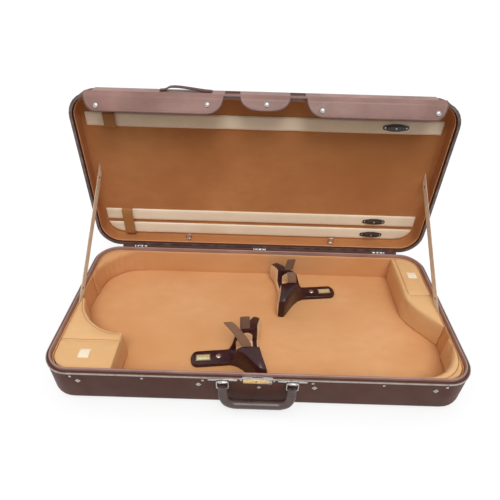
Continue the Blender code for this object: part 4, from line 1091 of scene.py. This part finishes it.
def make_neck_straps():
    """Fuzzy fastening tape with a sewn border, each strap in the pose of the photograph."""
    for body, form in STRAPS.items():
        where, strap = body.split("_", 1)
        node = where + "_neck_" + strap
        to_world = cradle_frame(where)
        path = [to_world @ p for p in strap_path(*form)]
        across = to_world.to_3x3() @ Vector((1, 0, 0))
        tape = ribbon(path, across, STRAP_WIDTH, STRAP_THICKNESS, taper=0.22)
        made = add_piece(node + "_tape", *tape, "hook_tape", body, "hook_tape", [node])
        rows = []
        for edge in (-1, 1):
            for face in (-1, 1):
                rows.append([])
                for k in range(2, len(path) - 2):
                    out = direction(path, k).cross(across).normalized()
                    side = across * edge * (STRAP_WIDTH / 2 - STRAP_HEM)
                    rows[-1].append(path[k] + side + out * face * STRAP_THICKNESS * 0.52)
        sewn(node + "_stitches", rows, "brown_thread", body, "hook_tape", STRAP_STITCH, across)


def make_cradle_trim():
    """A screw through each tongue and a dark enamelled border round each blank label plate."""
    for where in CRADLES:
        to_world = cradle_frame(where)
        screw = lathe(SCREW_HEAD, CRADLE_SCREW, (0, 0, 1), 24, place=lambda p: to_world @ Vector(p))
        add_piece(where + "_cradle_screw", *screw, "chrome", "base", "bright_metal")
        loops = []
        for inset, up in PLATE_BORDER:
            u, v = PLATE_LENGTH / 2 - inset, PLATE_WIDTH / 2 - inset
            corners = ((-u, -v), (u, -v), (u, v), (-u, v))
            loops.append([to_world @ Vector((PLATE_U + du, dv, PLATE_TOP + up)) for du, dv in corners])
        border = skin(loops, joined=True)
        add_piece(where + "_label_border", *border, "dark_enamel", "base", "brass")


# Lid

def make_lid_lining():
    """Velour lining with a rolled edge all round and a soft cove where walls meet the ceiling."""
    edge = LID_LINING_FOOT + LID_EDGE_ROUND
    middle = (LID_LINING_OUTER + LID_ROOM_INSET) / 2
    cove = LID_COVE - (LID_ROOM_INSET - LID_LINING_OUTER)
    top = CEILING - cove
    pairs = [(inset, LID_BACK) for inset in (*BACKING_RINGS, LID_LINING_OUTER + LID_COVE)]
    pairs += [(LID_LINING_OUTER + LID_COVE_CHAMFER, LID_BACK - LID_COVE_CHAMFER)]
    pairs += [(LID_LINING_OUTER, LID_BACK - LID_COVE), (LID_LINING_OUTER, edge)]
    pairs += [(middle + side * LID_EDGE_HALF, LID_LINING_FOOT + 0.0001) for side in (-1, 1)]
    pairs += [(LID_ROOM_INSET, edge + (top - LID_LINING_FOOT) * k / 7) for k in range(7)]
    for k in range(7):
        turn = math.pi / 2 * k / 6
        pairs.append((LID_ROOM_INSET + cove * (1 - math.cos(turn)), top + cove * math.sin(turn)))
    pairs += [(LID_ROOM_INSET + cove + CEILING_RING * k, CEILING) for k in range(1, 14)]
    shape = skin(rounds(pairs, raised))
    # The lid lining's velour is painted darker than the base's, as shade inside the lid
    made = add_piece("tan_lid_lining", *shape, "lid_velour", "lid", "velour", ["lid_lining"])
    ruffle(made, 0.0003, 20.0, 5.0)


def make_lid_piping():
    """Peach piping round the lid lining's edge."""
    out, below = LID_PIPING_AT
    path = [(x, y, LID_LINING_FOOT - below) for x, y in plan_outline(LID_ROOM_INSET - out)]
    piping = tube(path, LID_PIPING_RADIUS, 8, True, raised)
    add_piece("lid_piping", *piping, "peach_piping", "lid", "velour")


def band_half_length(y):
    """How far a bow band reaches at y of the shut lid, where the lid's corner trims it."""
    radius = CORNER_RADIUS - BAND_INSET
    past = min(radius, max(0.0, abs(y) - (HALF_Y - CORNER_RADIUS)))
    return HALF_X - BAND_INSET - radius + math.sqrt(radius * radius - past * past)


def make_bow_bands():
    """Padded ribbons, crowned across and a little uneven along, sewn down near their edges."""
    foot = CEILING - FIT
    for name, at in BAND_AT.items():
        node = "bow_band_" + name
        loops = []
        for j in range(17):
            across = -1 + j / 8
            y = AXIS_Y - at - across * BAND_WIDTH / 2
            reach = band_half_length(y)
            swell = BAND_THICKNESS * (0.30 + 0.70 * (1 - abs(across) ** 5) ** 0.5)
            stations = [math.sin(math.pi / 2 * (-1 + k / 40)) for k in range(81)]
            top = []
            for share in stations:
                end = (1 - abs(share) ** 40) ** 0.5
                top.append(raised((share * reach, y, foot - swell * (0.25 + 0.75 * end))))
            base = [raised((share * reach, y, foot)) for share in stations[::4]]
            loops.append(top + base[::-1])
        made = add_piece("padded_" + node, *skin(loops), "cream_ribbon", "lid", "cream_ribbon", [node])
        ruffle(made, 0.0002, 45.0, at * 100)
        rows = []
        for edge in (-1, 1):
            y = AXIS_Y - at - edge * (BAND_WIDTH / 2 - BAND_SEAM_INSET)
            reach = band_half_length(y) - BAND_SEAM_END
            rows.append([(-reach + 2 * reach * k / 60, y, foot - BAND_THICKNESS * 0.97) for k in range(61)])
        sewn(node + "_stitches", rows, "cream_thread", "lid", "cream_ribbon", BAND_STITCH, (0, 0, -1), raised)


def make_tip_loops():
    """Flat velour loops over the bow tips; the lower one bridges two bands."""
    foot = CEILING - FIT
    crown = foot - BAND_THICKNESS - LOOP_STAND + LOOP_SHEET / 2
    rise = [(foot - 0.0002, 0.0), (foot - 0.0040, 0.0006), (crown + 0.0012, 0.0016), (crown, 0.0032)]
    for name, (first, last) in LOOPS.items():
        node = "tip_loop_" + name
        near = AXIS_Y - (BAND_AT[first] - BAND_WIDTH / 2 - LOOP_CLEAR)
        far = AXIS_Y - (BAND_AT[last] + BAND_WIDTH / 2 + LOOP_CLEAR)
        path = [(z, near - inward) for z, inward in rise]
        path += [(crown, near + (far - near) * k / 6) for k in range(1, 6)]
        path += [(z, far + inward) for z, inward in reversed(rise)]
        points = [Vector(raised((LOOP_X, y, z))) for z, y in path]
        strap = ribbon(points, (1, 0, 0), LOOP_WIDTH, LOOP_SHEET)
        made = add_piece("velour_" + node, *strap, "loop_velour", "lid", "velour", [node])
        rows = []
        for y in (near - LOOP_SEAM_AT, far + LOOP_SEAM_AT):
            ends = (LOOP_X - LOOP_SEAM_HALF, LOOP_X + LOOP_SEAM_HALF)
            rows.append([(x, y, crown - LOOP_SHEET / 2) for x in ends])
        sewn(node + "_stitches", rows, "tan_thread", "lid", "cream_ribbon", LOOP_STITCH, (0, 0, -1), raised)


def make_clip_screws():
    """Two small screws in each bow clip's plate and a stud in the middle of its button."""
    for name in BAND_AT:
        low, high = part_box("bow_clip_plate_" + name)
        z = (low.z + high.z) / 2
        places = [(CLIP_X + side * CLIP_SCREW, low.y, z) for side in (-1, 1)]
        heads("clip_screws_" + name, CLIP_HEAD, places, (0, -1, 0), 14, "lid")
        low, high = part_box("bow_clip_button_" + name)
        place = (CLIP_X, low.y, (low.z + high.z) / 2)
        heads("clip_stud_" + name, CLIP_HEAD, [place], (0, -1, 0), 14, "clip_button_" + name)


def make_stays():
    """Straight webbing stays from the padding up to the lid's ceiling, cut square where they meet the padding
    and the ceiling.
    """
    for name, side in (("left", -1), ("right", 1)):
        foot = Vector((side * STAY_FOOT[0], *STAY_FOOT[1:]))
        head = Vector((side * STAY_HEAD[0], *STAY_HEAD[1:]))
        along = (head - foot).normalized()
        across = Vector((0, -along.z, along.y))
        points, ways = [], []
        for k in range(49):
            share = k / 48
            trim = -across.z / along.z * (1 - share) - across.y / along.y * share
            points.append(foot.lerp(head, share))
            ways.append(across + along * trim)
        stay = ribbon(points, ways, STAY_WIDTH, STAY_THICKNESS)
        replaced = ["stay_strap_" + name]
        made = add_piece("webbing_stay_" + name, *stay, "beige_webbing", None, "webbing", replaced)
        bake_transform(made)
        inward = Vector((-side, 0, 0))
        near, far = foot + along * STAY_RIVET_AT, head - along * STAY_RIVET_AT
        for end, body, place in (("foot", "base", near), ("head", "lid", far)):
            centre = place + inward * STAY_THICKNESS / 2
            heads("stay_rivet_%s_%s" % (name, end), STAY_RIVET, [centre], inward, 16, body)


def make_back_cover():
    """The covering that runs on from the base's back wall to the lid's, between the hinges."""
    edges = [-COVER_END]
    for side in ("left", "middle", "right"):
        low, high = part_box("hinge_base_leaf_" + side)
        edges += [low.x - COVER_GAP, high.x + COVER_GAP]
    edges.append(COVER_END)
    spans = list(zip(edges[::2], edges[1::2]))
    back = HALF_Y + COVER_SHEET
    under = AXIS_Z + AXIS_Y - back
    path = [(back + out, RIM + up) for out, up in COVER_WALL]
    path += [(back + out, under + up) for out, up in COVER_LID]
    shapes = []
    for start, end in spans:
        points = [Vector(((start + end) / 2, y, z)) for y, z in path]
        shapes.append(ribbon(points, (1, 0, 0), end - start, COVER_SHEET))
    made = add_piece("back_cover", *together(*shapes), "dark_leatherette", None, "leatherette")
    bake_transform(made)


# Closing flap

def flap_drop(x):
    """How far the flap hangs at x: two long leaves and a middle tongue."""
    hem = FLAP_HEM * 1.6
    distance = abs(x)
    if distance <= NOTCH_INNER:
        share = math.sqrt(1 - (distance / NOTCH_INNER) ** 3)
        return hem + (TONGUE_DROP - hem) * share
    if distance < NOTCH_OUTER:
        return hem
    inner = 1 - min(1.0, (distance - NOTCH_OUTER) / NOTCH_CURVE)
    outer = 1 - min(1.0, (FLAP_END - distance) / FLAP_CORNER)
    share = math.sqrt(max(0.0, 1 - inner ** 2.4)) * math.sqrt(max(0.0, 1 - outer ** 2.4))
    return hem + (FLAP_DROP - hem) * share


def flap_columns():
    """Where the flap is cut across: close together where its edge curves."""
    crowd = [(k / 14) ** 2 for k in range(15)]
    outer = [FLAP_END - share * FLAP_CORNER for share in crowd]
    inner = [NOTCH_OUTER + share * NOTCH_CURVE for share in crowd]
    tongue = [NOTCH_INNER * math.sin(math.pi / 2 * k / 16) for k in range(17)]
    middle = [inner[-1] + (outer[-1] - inner[-1]) * k / 24 for k in range(1, 24)]
    right = tongue + inner + middle + outer[::-1]
    return [-x for x in reversed(right[1:])] + right


def flap_point(x, drop, out):
    """A point of the flap, `drop` from its fold and `out` from its middle layer, as it hangs at rest."""
    bow = FLAP_BOW * smooth(drop / FLAP_FOLD)
    slack = FLAP_SLACK * smooth((drop - 0.010) / 0.020) * noise.noise(Vector((x * 16, drop * 30, 2.0)))
    y, z = -(bow + out + slack), -drop
    cos, sin = math.cos(FLAP_RISE), math.sin(FLAP_RISE)
    return raised((x, FOLD_Y + y * cos - z * sin, FOLD_Z + y * sin + z * cos))


def flap_facing():
    """The way the flap's outer face looks as it hangs at rest."""
    here = Vector(flap_point(0.2, 0.020, 0.0))
    return (Vector(flap_point(0.2, 0.020, 0.001)) - here).normalized()


def flap_section(x):
    """The flap's cross-section at x: a rolled hem at the fold, then a sheet that thins at its edge."""
    drop = flap_drop(x)
    start = 1.3 * FLAP_HEM
    fold = [(along * FLAP_HEM, out * FLAP_HEM) for along, out in FLAP_ROLL]
    crown = fold[-1][1]
    sheet = []
    for k in range(13):
        along = start + (drop - start) * (k / 12) ** 1.3
        edge = max(0.0, 1 - (drop - along) / 0.0012)
        sheet.append((along, FLAP_SHEET / 2 * math.sqrt(max(0.10, 1 - edge * edge))))
    roll = [(s, h + (crown - h) * math.exp(-(s - start) / 0.004)) for s, h in sheet]
    outside = [flap_point(x, s, h) for s, h in fold + roll]
    return outside + [flap_point(x, s, -h) for s, h in reversed(fold + sheet)]


def make_flap():
    """Two leaves and a tongue of leather, folded down over the front wall as the lid shuts."""
    loops = [flap_section(x) for x in flap_columns()]
    # The flap's mauve is painted light from above on the dark brown leatherette
    made = add_piece("leather_flap", *skin(loops), "flap_leather", "flap", "leatherette", ["closing_flap"])


def make_flap_trim():
    """The flap's rolled edge, the stitches along it and its five snap caps."""
    edge = []
    for x in flap_columns():
        drop = flap_drop(x)
        inset = PIPING_INSET if drop > FOLD_CLEAR else FLAP_HEM
        edge.append(Vector(flap_point(x, drop - inset, PIPING_LIFT)))
    add_piece("flap_piping", *tube(edge, FLAP_PIPING, 8), "piping_leather", "flap", "leatherette")
    rows = []
    for low, high in ((-FLAP_END, -NOTCH_OUTER), (-NOTCH_INNER, NOTCH_INNER), (NOTCH_OUTER, FLAP_END)):
        middle = (low + high) / 2
        row = []
        for x in flap_columns():
            if low <= x <= high:
                away = abs(middle - x)
                inward = x + (middle - x) / away * STITCH_INSET if away > STITCH_INSET else x
                drop = max(FOLD_CLEAR, flap_drop(x) - STITCH_INSET)
                row.append(Vector(flap_point(inward, drop, FLAP_SHEET / 2 + STITCH_LIFT)))
        rows.append(row)
    sewn("flap_stitches", rows, "pale_thread", "flap", "leatherette", FLAP_STITCH, flap_facing())
    places = [flap_point(x, drop, FLAP_SHEET / 2) for x, drop in CAPS]
    heads("flap_caps", CAP_HEAD, places, flap_facing(), 24, "flap")


def make_flap_strip():
    """The leather strip the flap is sewn to, over the lid's rim and front wall."""
    made = evened("flap_strip", "leather_flap_strip", 0.0007)
    # The strip shares the flap's mauve, painted light from above on the dark brown leatherette
    settle(made, "flap_leather", "lid", ["flap_strip"])


def make_grab_strap():
    """A short arched strap on the lid's front wall."""
    path = []
    for k in range(33):
        t = -1 + k / 16
        rise = GRAB_RISE * (0.5 + 0.5 * math.cos(t * math.pi))
        x = GRAB_X + GRAB_LENGTH / 2 * t - GRAB_SKEW * rise / GRAB_RISE
        path.append(Vector(raised((x, GRAB_WALL - rise - GRAB_SHEET / 2, GRAB_MIDDLE))))
    strap = ribbon(path, (0, 1, 0), GRAB_WIDTH, GRAB_SHEET)
    made = add_piece("leather_grab_strap", *strap, "dark_leatherette", "lid", "black_plastic", ["grab_strap"])


# Handle

def grip_path():
    """The grip's middle line as (x, z), from one eye down and along to the other."""
    right = [(GRIP_AT, GRIP_EYE_Z + GRIP_END_THICKNESS / 2), (GRIP_AT, GRIP_EYE_Z + 0.002)]
    bend_z = GRIP_LOW + GRIP_BEND
    right += [(GRIP_AT, GRIP_EYE_Z + (bend_z - GRIP_EYE_Z) * k / 4) for k in range(4)]
    right += arc(GRIP_AT - GRIP_BEND, bend_z, GRIP_BEND, 0, -90, 14)
    right += [((GRIP_AT - GRIP_BEND) * (1 - k / 8), GRIP_LOW) for k in range(1, 8)]
    return right + [(0.0, GRIP_LOW)] + [(-x, z) for x, z in reversed(right)]


def make_grip():
    """A stuffed leather grip, folded flat round the bails, sewn along its inside."""
    path = [(x, 0, z) for x, z in grip_path()]
    in_share, front_share = GRIP_SEAM_AT
    loops, seam = [], []
    for k, (x, _, z) in enumerate(path):
        along = direction(path, k)
        side = Vector((-along.z, 0, along.x))
        share = smooth((GRIP_EYE_Z - z) / (GRIP_EYE_Z - GRIP_LOW) * GRIP_SWELL)
        wide = GRIP_END_WIDTH / 2 * (1 - share) + GRIP_RADIUS * share
        deep = GRIP_END_THICKNESS / 2 * (1 - share) + GRIP_RADIUS * share
        here = Vector((x, GRIP_AXIS_Y - GRIP_OUT * share, z))
        thin = GRIP_END_ROUND if k in (0, len(path) - 1) else 1.0
        loops.append(circle(here, side * wide, Vector((0, deep, 0)), thin, 28))
        if share > GRIP_SEAM_FROM:
            inward = -1 if side.z < 0 or (abs(side.z) < 0.05 and side.x * x > 0) else 1
            seam.append(here + side * wide * inward * in_share + Vector((0, -deep * front_share, 0)))
    made = add_piece("leather_grip", *skin(loops), "grip_leather", "handle", "leatherette", ["handle_grip"])
    shapes = (tube(seam, SEAM_CORD, 6), stitches(seam, *GRIP_STITCH, (0, -1, 0)))
    add_piece("grip_seam", *together(*shapes), "brown_thread", "handle", "leatherette")


# Fasteners on the base

def make_wall_studs():
    """Four-lobed snap studs for the flap, and the rivets that hold the rim strip, on the front wall."""
    narrower, lower = LOW_STUD_SIZE
    low_head = [(radius * narrower, height * lower) for radius, height in STUD_HEAD]
    studs = []
    for head, places in ((STUD_HEAD, SNAP_STUDS), (low_head, [LOW_STUD])):
        for x, z in places:
            studs.append(lathe(head, (x, WALL_FACE, z), (0, -1, 0), 32, STUD_LOBES, STUD_WAVE))
    add_piece("snap_studs", *together(*studs), "chrome", "base", "bright_metal")
    heads("rim_rivets", RIVET_HEAD, [(x, WALL_FACE, RIVETS_Z) for x in RIVETS_X], (0, -1, 0), 16, "base")


def make_keyhole():
    """A dark disc behind the keyhole of the lock's brass slide: painted shade that shows through the hole."""
    low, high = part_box("lock_slide")
    centre = ((low.x + high.x) / 2, low.y + KEYHOLE_DEPTH, (low.z + high.z) / 2)
    shade_disc = lathe(KEYHOLE_SHADE_DISC, centre, (0, -1, 0), 20)
    add_piece("keyhole_painted_shade", *shade_disc, "dark_enamel", "lock_slide", "black_plastic")


# CAD nodes that keep their shape

def rounding():
    """A node group that shades a CAD node smooth except along its sharp edges."""
    group = bpy.data.node_groups.new("rounding", "GeometryNodeTree")
    for way in ("INPUT", "OUTPUT"):
        group.interface.new_socket("Geometry", in_out=way, socket_type="NodeSocketGeometry")
    tree = Nodes(group)
    faces = tree.add("GeometryNodeSetShadeSmooth", {"Geometry": tree.add("NodeGroupInput", {})})
    angle = tree.add("GeometryNodeInputMeshEdgeAngle", {})
    sharp = tree.add("FunctionNodeCompare", {0: angle, 1: CAD_SHARP_TURN})
    inputs = {"Geometry": faces, "Selection": sharp, "Shade Smooth": False}
    edges = tree.add("GeometryNodeSetShadeSmooth", inputs, domain="EDGE")
    tree.join(tree.nodes.new("NodeGroupOutput"), {0: edges})
    return group


def dress(look, group, bevel, *nodes):
    """Gives CAD nodes their material, a small bevel and smooth shading."""
    for node in nodes:
        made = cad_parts[node]
        made.data.materials.clear()
        made.data.materials.append(LOOKS[look])
        modify(made, "WELD", merge_threshold=0.00001)
        if bevel:
            modify(made, "BEVEL", width=bevel, segments=2, limit_method="ANGLE", angle_limit=BEVEL_TURN)
        modify(made, "NODES", node_group=group)


def named(form, parts, places):
    """Every node name that a form gives with these parts and places."""
    return [form % (part, place) for part in parts for place in places]


def dress_nodes():
    """Materials for every CAD node that keeps its shape."""
    group = rounding()
    chromed = named("hinge_%s_leaf_%s", ("base", "lid"), ("left", "middle", "right"))
    chromed += named("handle_%s_%s", ("plate", "bail"), ("left", "right"))
    chromed += named("lid_%s_%s", ("ring", "ring_plate"), ("left", "right"))
    dress("dark_leatherette", group, 0.0, "base_shell", "lid_shell")
    dress("satin_rim", group, 0.0, "base_valance")
    dress("dark_rim", group, 0.0, "lid_valance")
    dress("glossy_vinyl", group, 0.0012, "front_cradle", "rear_cradle")
    dress("label_metal", group, 0.0002, "front_cradle_plate", "rear_cradle_plate")
    dress("brass", group, 0.0002, "lock_slide")
    dress("chrome", group, 0.00025, "lock_case", *chromed)
    dress("moulded_plastic", group, 0.0003, *named("bow_clip_%s_%s", ("plate", "button"), BAND_AT))


# Stage

def make_floor():
    """A plain white floor that keeps the case's shadow."""
    material = bpy.data.materials.new("studio_floor")
    material.use_nodes = True
    tree = Nodes(material.node_tree)
    tree.nodes.remove(tree.nodes["Principled BSDF"])
    matt = tree.add("ShaderNodeBsdfDiffuse", {"Color": (FLOOR_ALBEDO, FLOOR_ALBEDO, FLOOR_ALBEDO, 1.0)})
    lift = tree.combine("MULTIPLY", tree.seen_ray(), FLOOR_SEEN - FLOOR_ALBEDO)
    glow = tree.add("ShaderNodeEmission", {"Strength": lift})
    both = tree.add("ShaderNodeAddShader", {0: matt, 1: glow})
    tree.join(tree.nodes["Material Output"], {"Surface": both})
    mesh = bpy.data.meshes.new("studio_floor")
    corners = [(x * FLOOR_REACH, y * FLOOR_REACH, 0) for x, y in ((-1, -1), (1, -1), (1, 1), (-1, 1))]
    mesh.from_pydata(corners, [], [(0, 1, 2, 3)])
    mesh.materials.append(material)
    shown("studio_floor", mesh)


def make_world():
    """White behind the case, and soft light that comes more from overhead than from the sides."""
    world = bpy.data.worlds.new("studio")
    bpy.context.scene.world = world
    world.use_nodes = True
    tree = Nodes(world.node_tree)
    way = tree.add("ShaderNodeTexCoord", {}, "Generated")
    rise = tree.combine("POWER", tree.combine("MAXIMUM", tree.upright(way), 0.0), SKY_POWER)
    light = tree.between(rise, 0.0, 1.0, SKY_LOW, SKY_HIGH)
    strength = tree.between(tree.seen_ray(), 0.0, 1.0, light)
    tree.join(tree.nodes["Background"], {"Color": WHITE, "Strength": strength})


def make_light():
    """One broad soft lamp above and in front of the case, a little to its right."""
    lamp = bpy.data.lights.new("overhead", "SUN")
    lamp.energy = KEY_LEVEL
    lamp.angle = math.radians(KEY_SPREAD)
    shown("overhead", lamp).rotation_euler = [math.radians(lean) for lean in KEY_LEAN] + [0.0]


def make_camera():
    """The photograph's view: from the front, looking down, rolled a little."""
    down, turn, roll = CAMERA_DOWN, CAMERA_TURN, CAMERA_ROLL
    ahead = Vector((math.sin(turn) * math.cos(down), math.cos(turn) * math.cos(down), -math.sin(down)))
    right = Vector((math.cos(turn), -math.sin(turn), 0))
    up = right.cross(ahead)
    right, up = right * math.cos(roll) + up * math.sin(roll), up * math.cos(roll) - right * math.sin(roll)
    lens = bpy.data.cameras.new("camera")
    lens.sensor_width = 36.0
    lens.lens = lens.sensor_width * FOCAL_PIXELS / FRAME_PIXELS
    lens.shift_x = (FRAME_PIXELS / 2 - CENTRE_PIXEL[0]) / FRAME_PIXELS
    lens.shift_y = (CENTRE_PIXEL[1] - FRAME_PIXELS / 2) / FRAME_PIXELS
    camera = shown("camera", lens)
    camera.matrix_world = Matrix.Translation(CAMERA_AT) @ Matrix((right, up, -ahead)).transposed().to_4x4()
    bpy.context.scene.camera = camera


def main():
    make_camera()
    make_materials()
    dress_nodes()
    make_base_lining()
    make_base_lip()
    make_rim_edging()
    make_cushions()
    make_blocks()
    make_pocket_lids()
    make_cradle_pads()
    make_neck_straps()
    make_cradle_trim()
    make_keyhole()
    make_lid_lining()
    make_lid_piping()
    make_bow_bands()
    make_tip_loops()
    make_clip_screws()
    make_stays()
    make_back_cover()
    make_flap()
    make_flap_trim()
    make_flap_strip()
    make_grab_strap()
    make_grip()
    make_wall_studs()
    make_floor()
    make_world()
    make_light()
    bpy.context.scene.view_settings.view_transform = "Standard"


main()
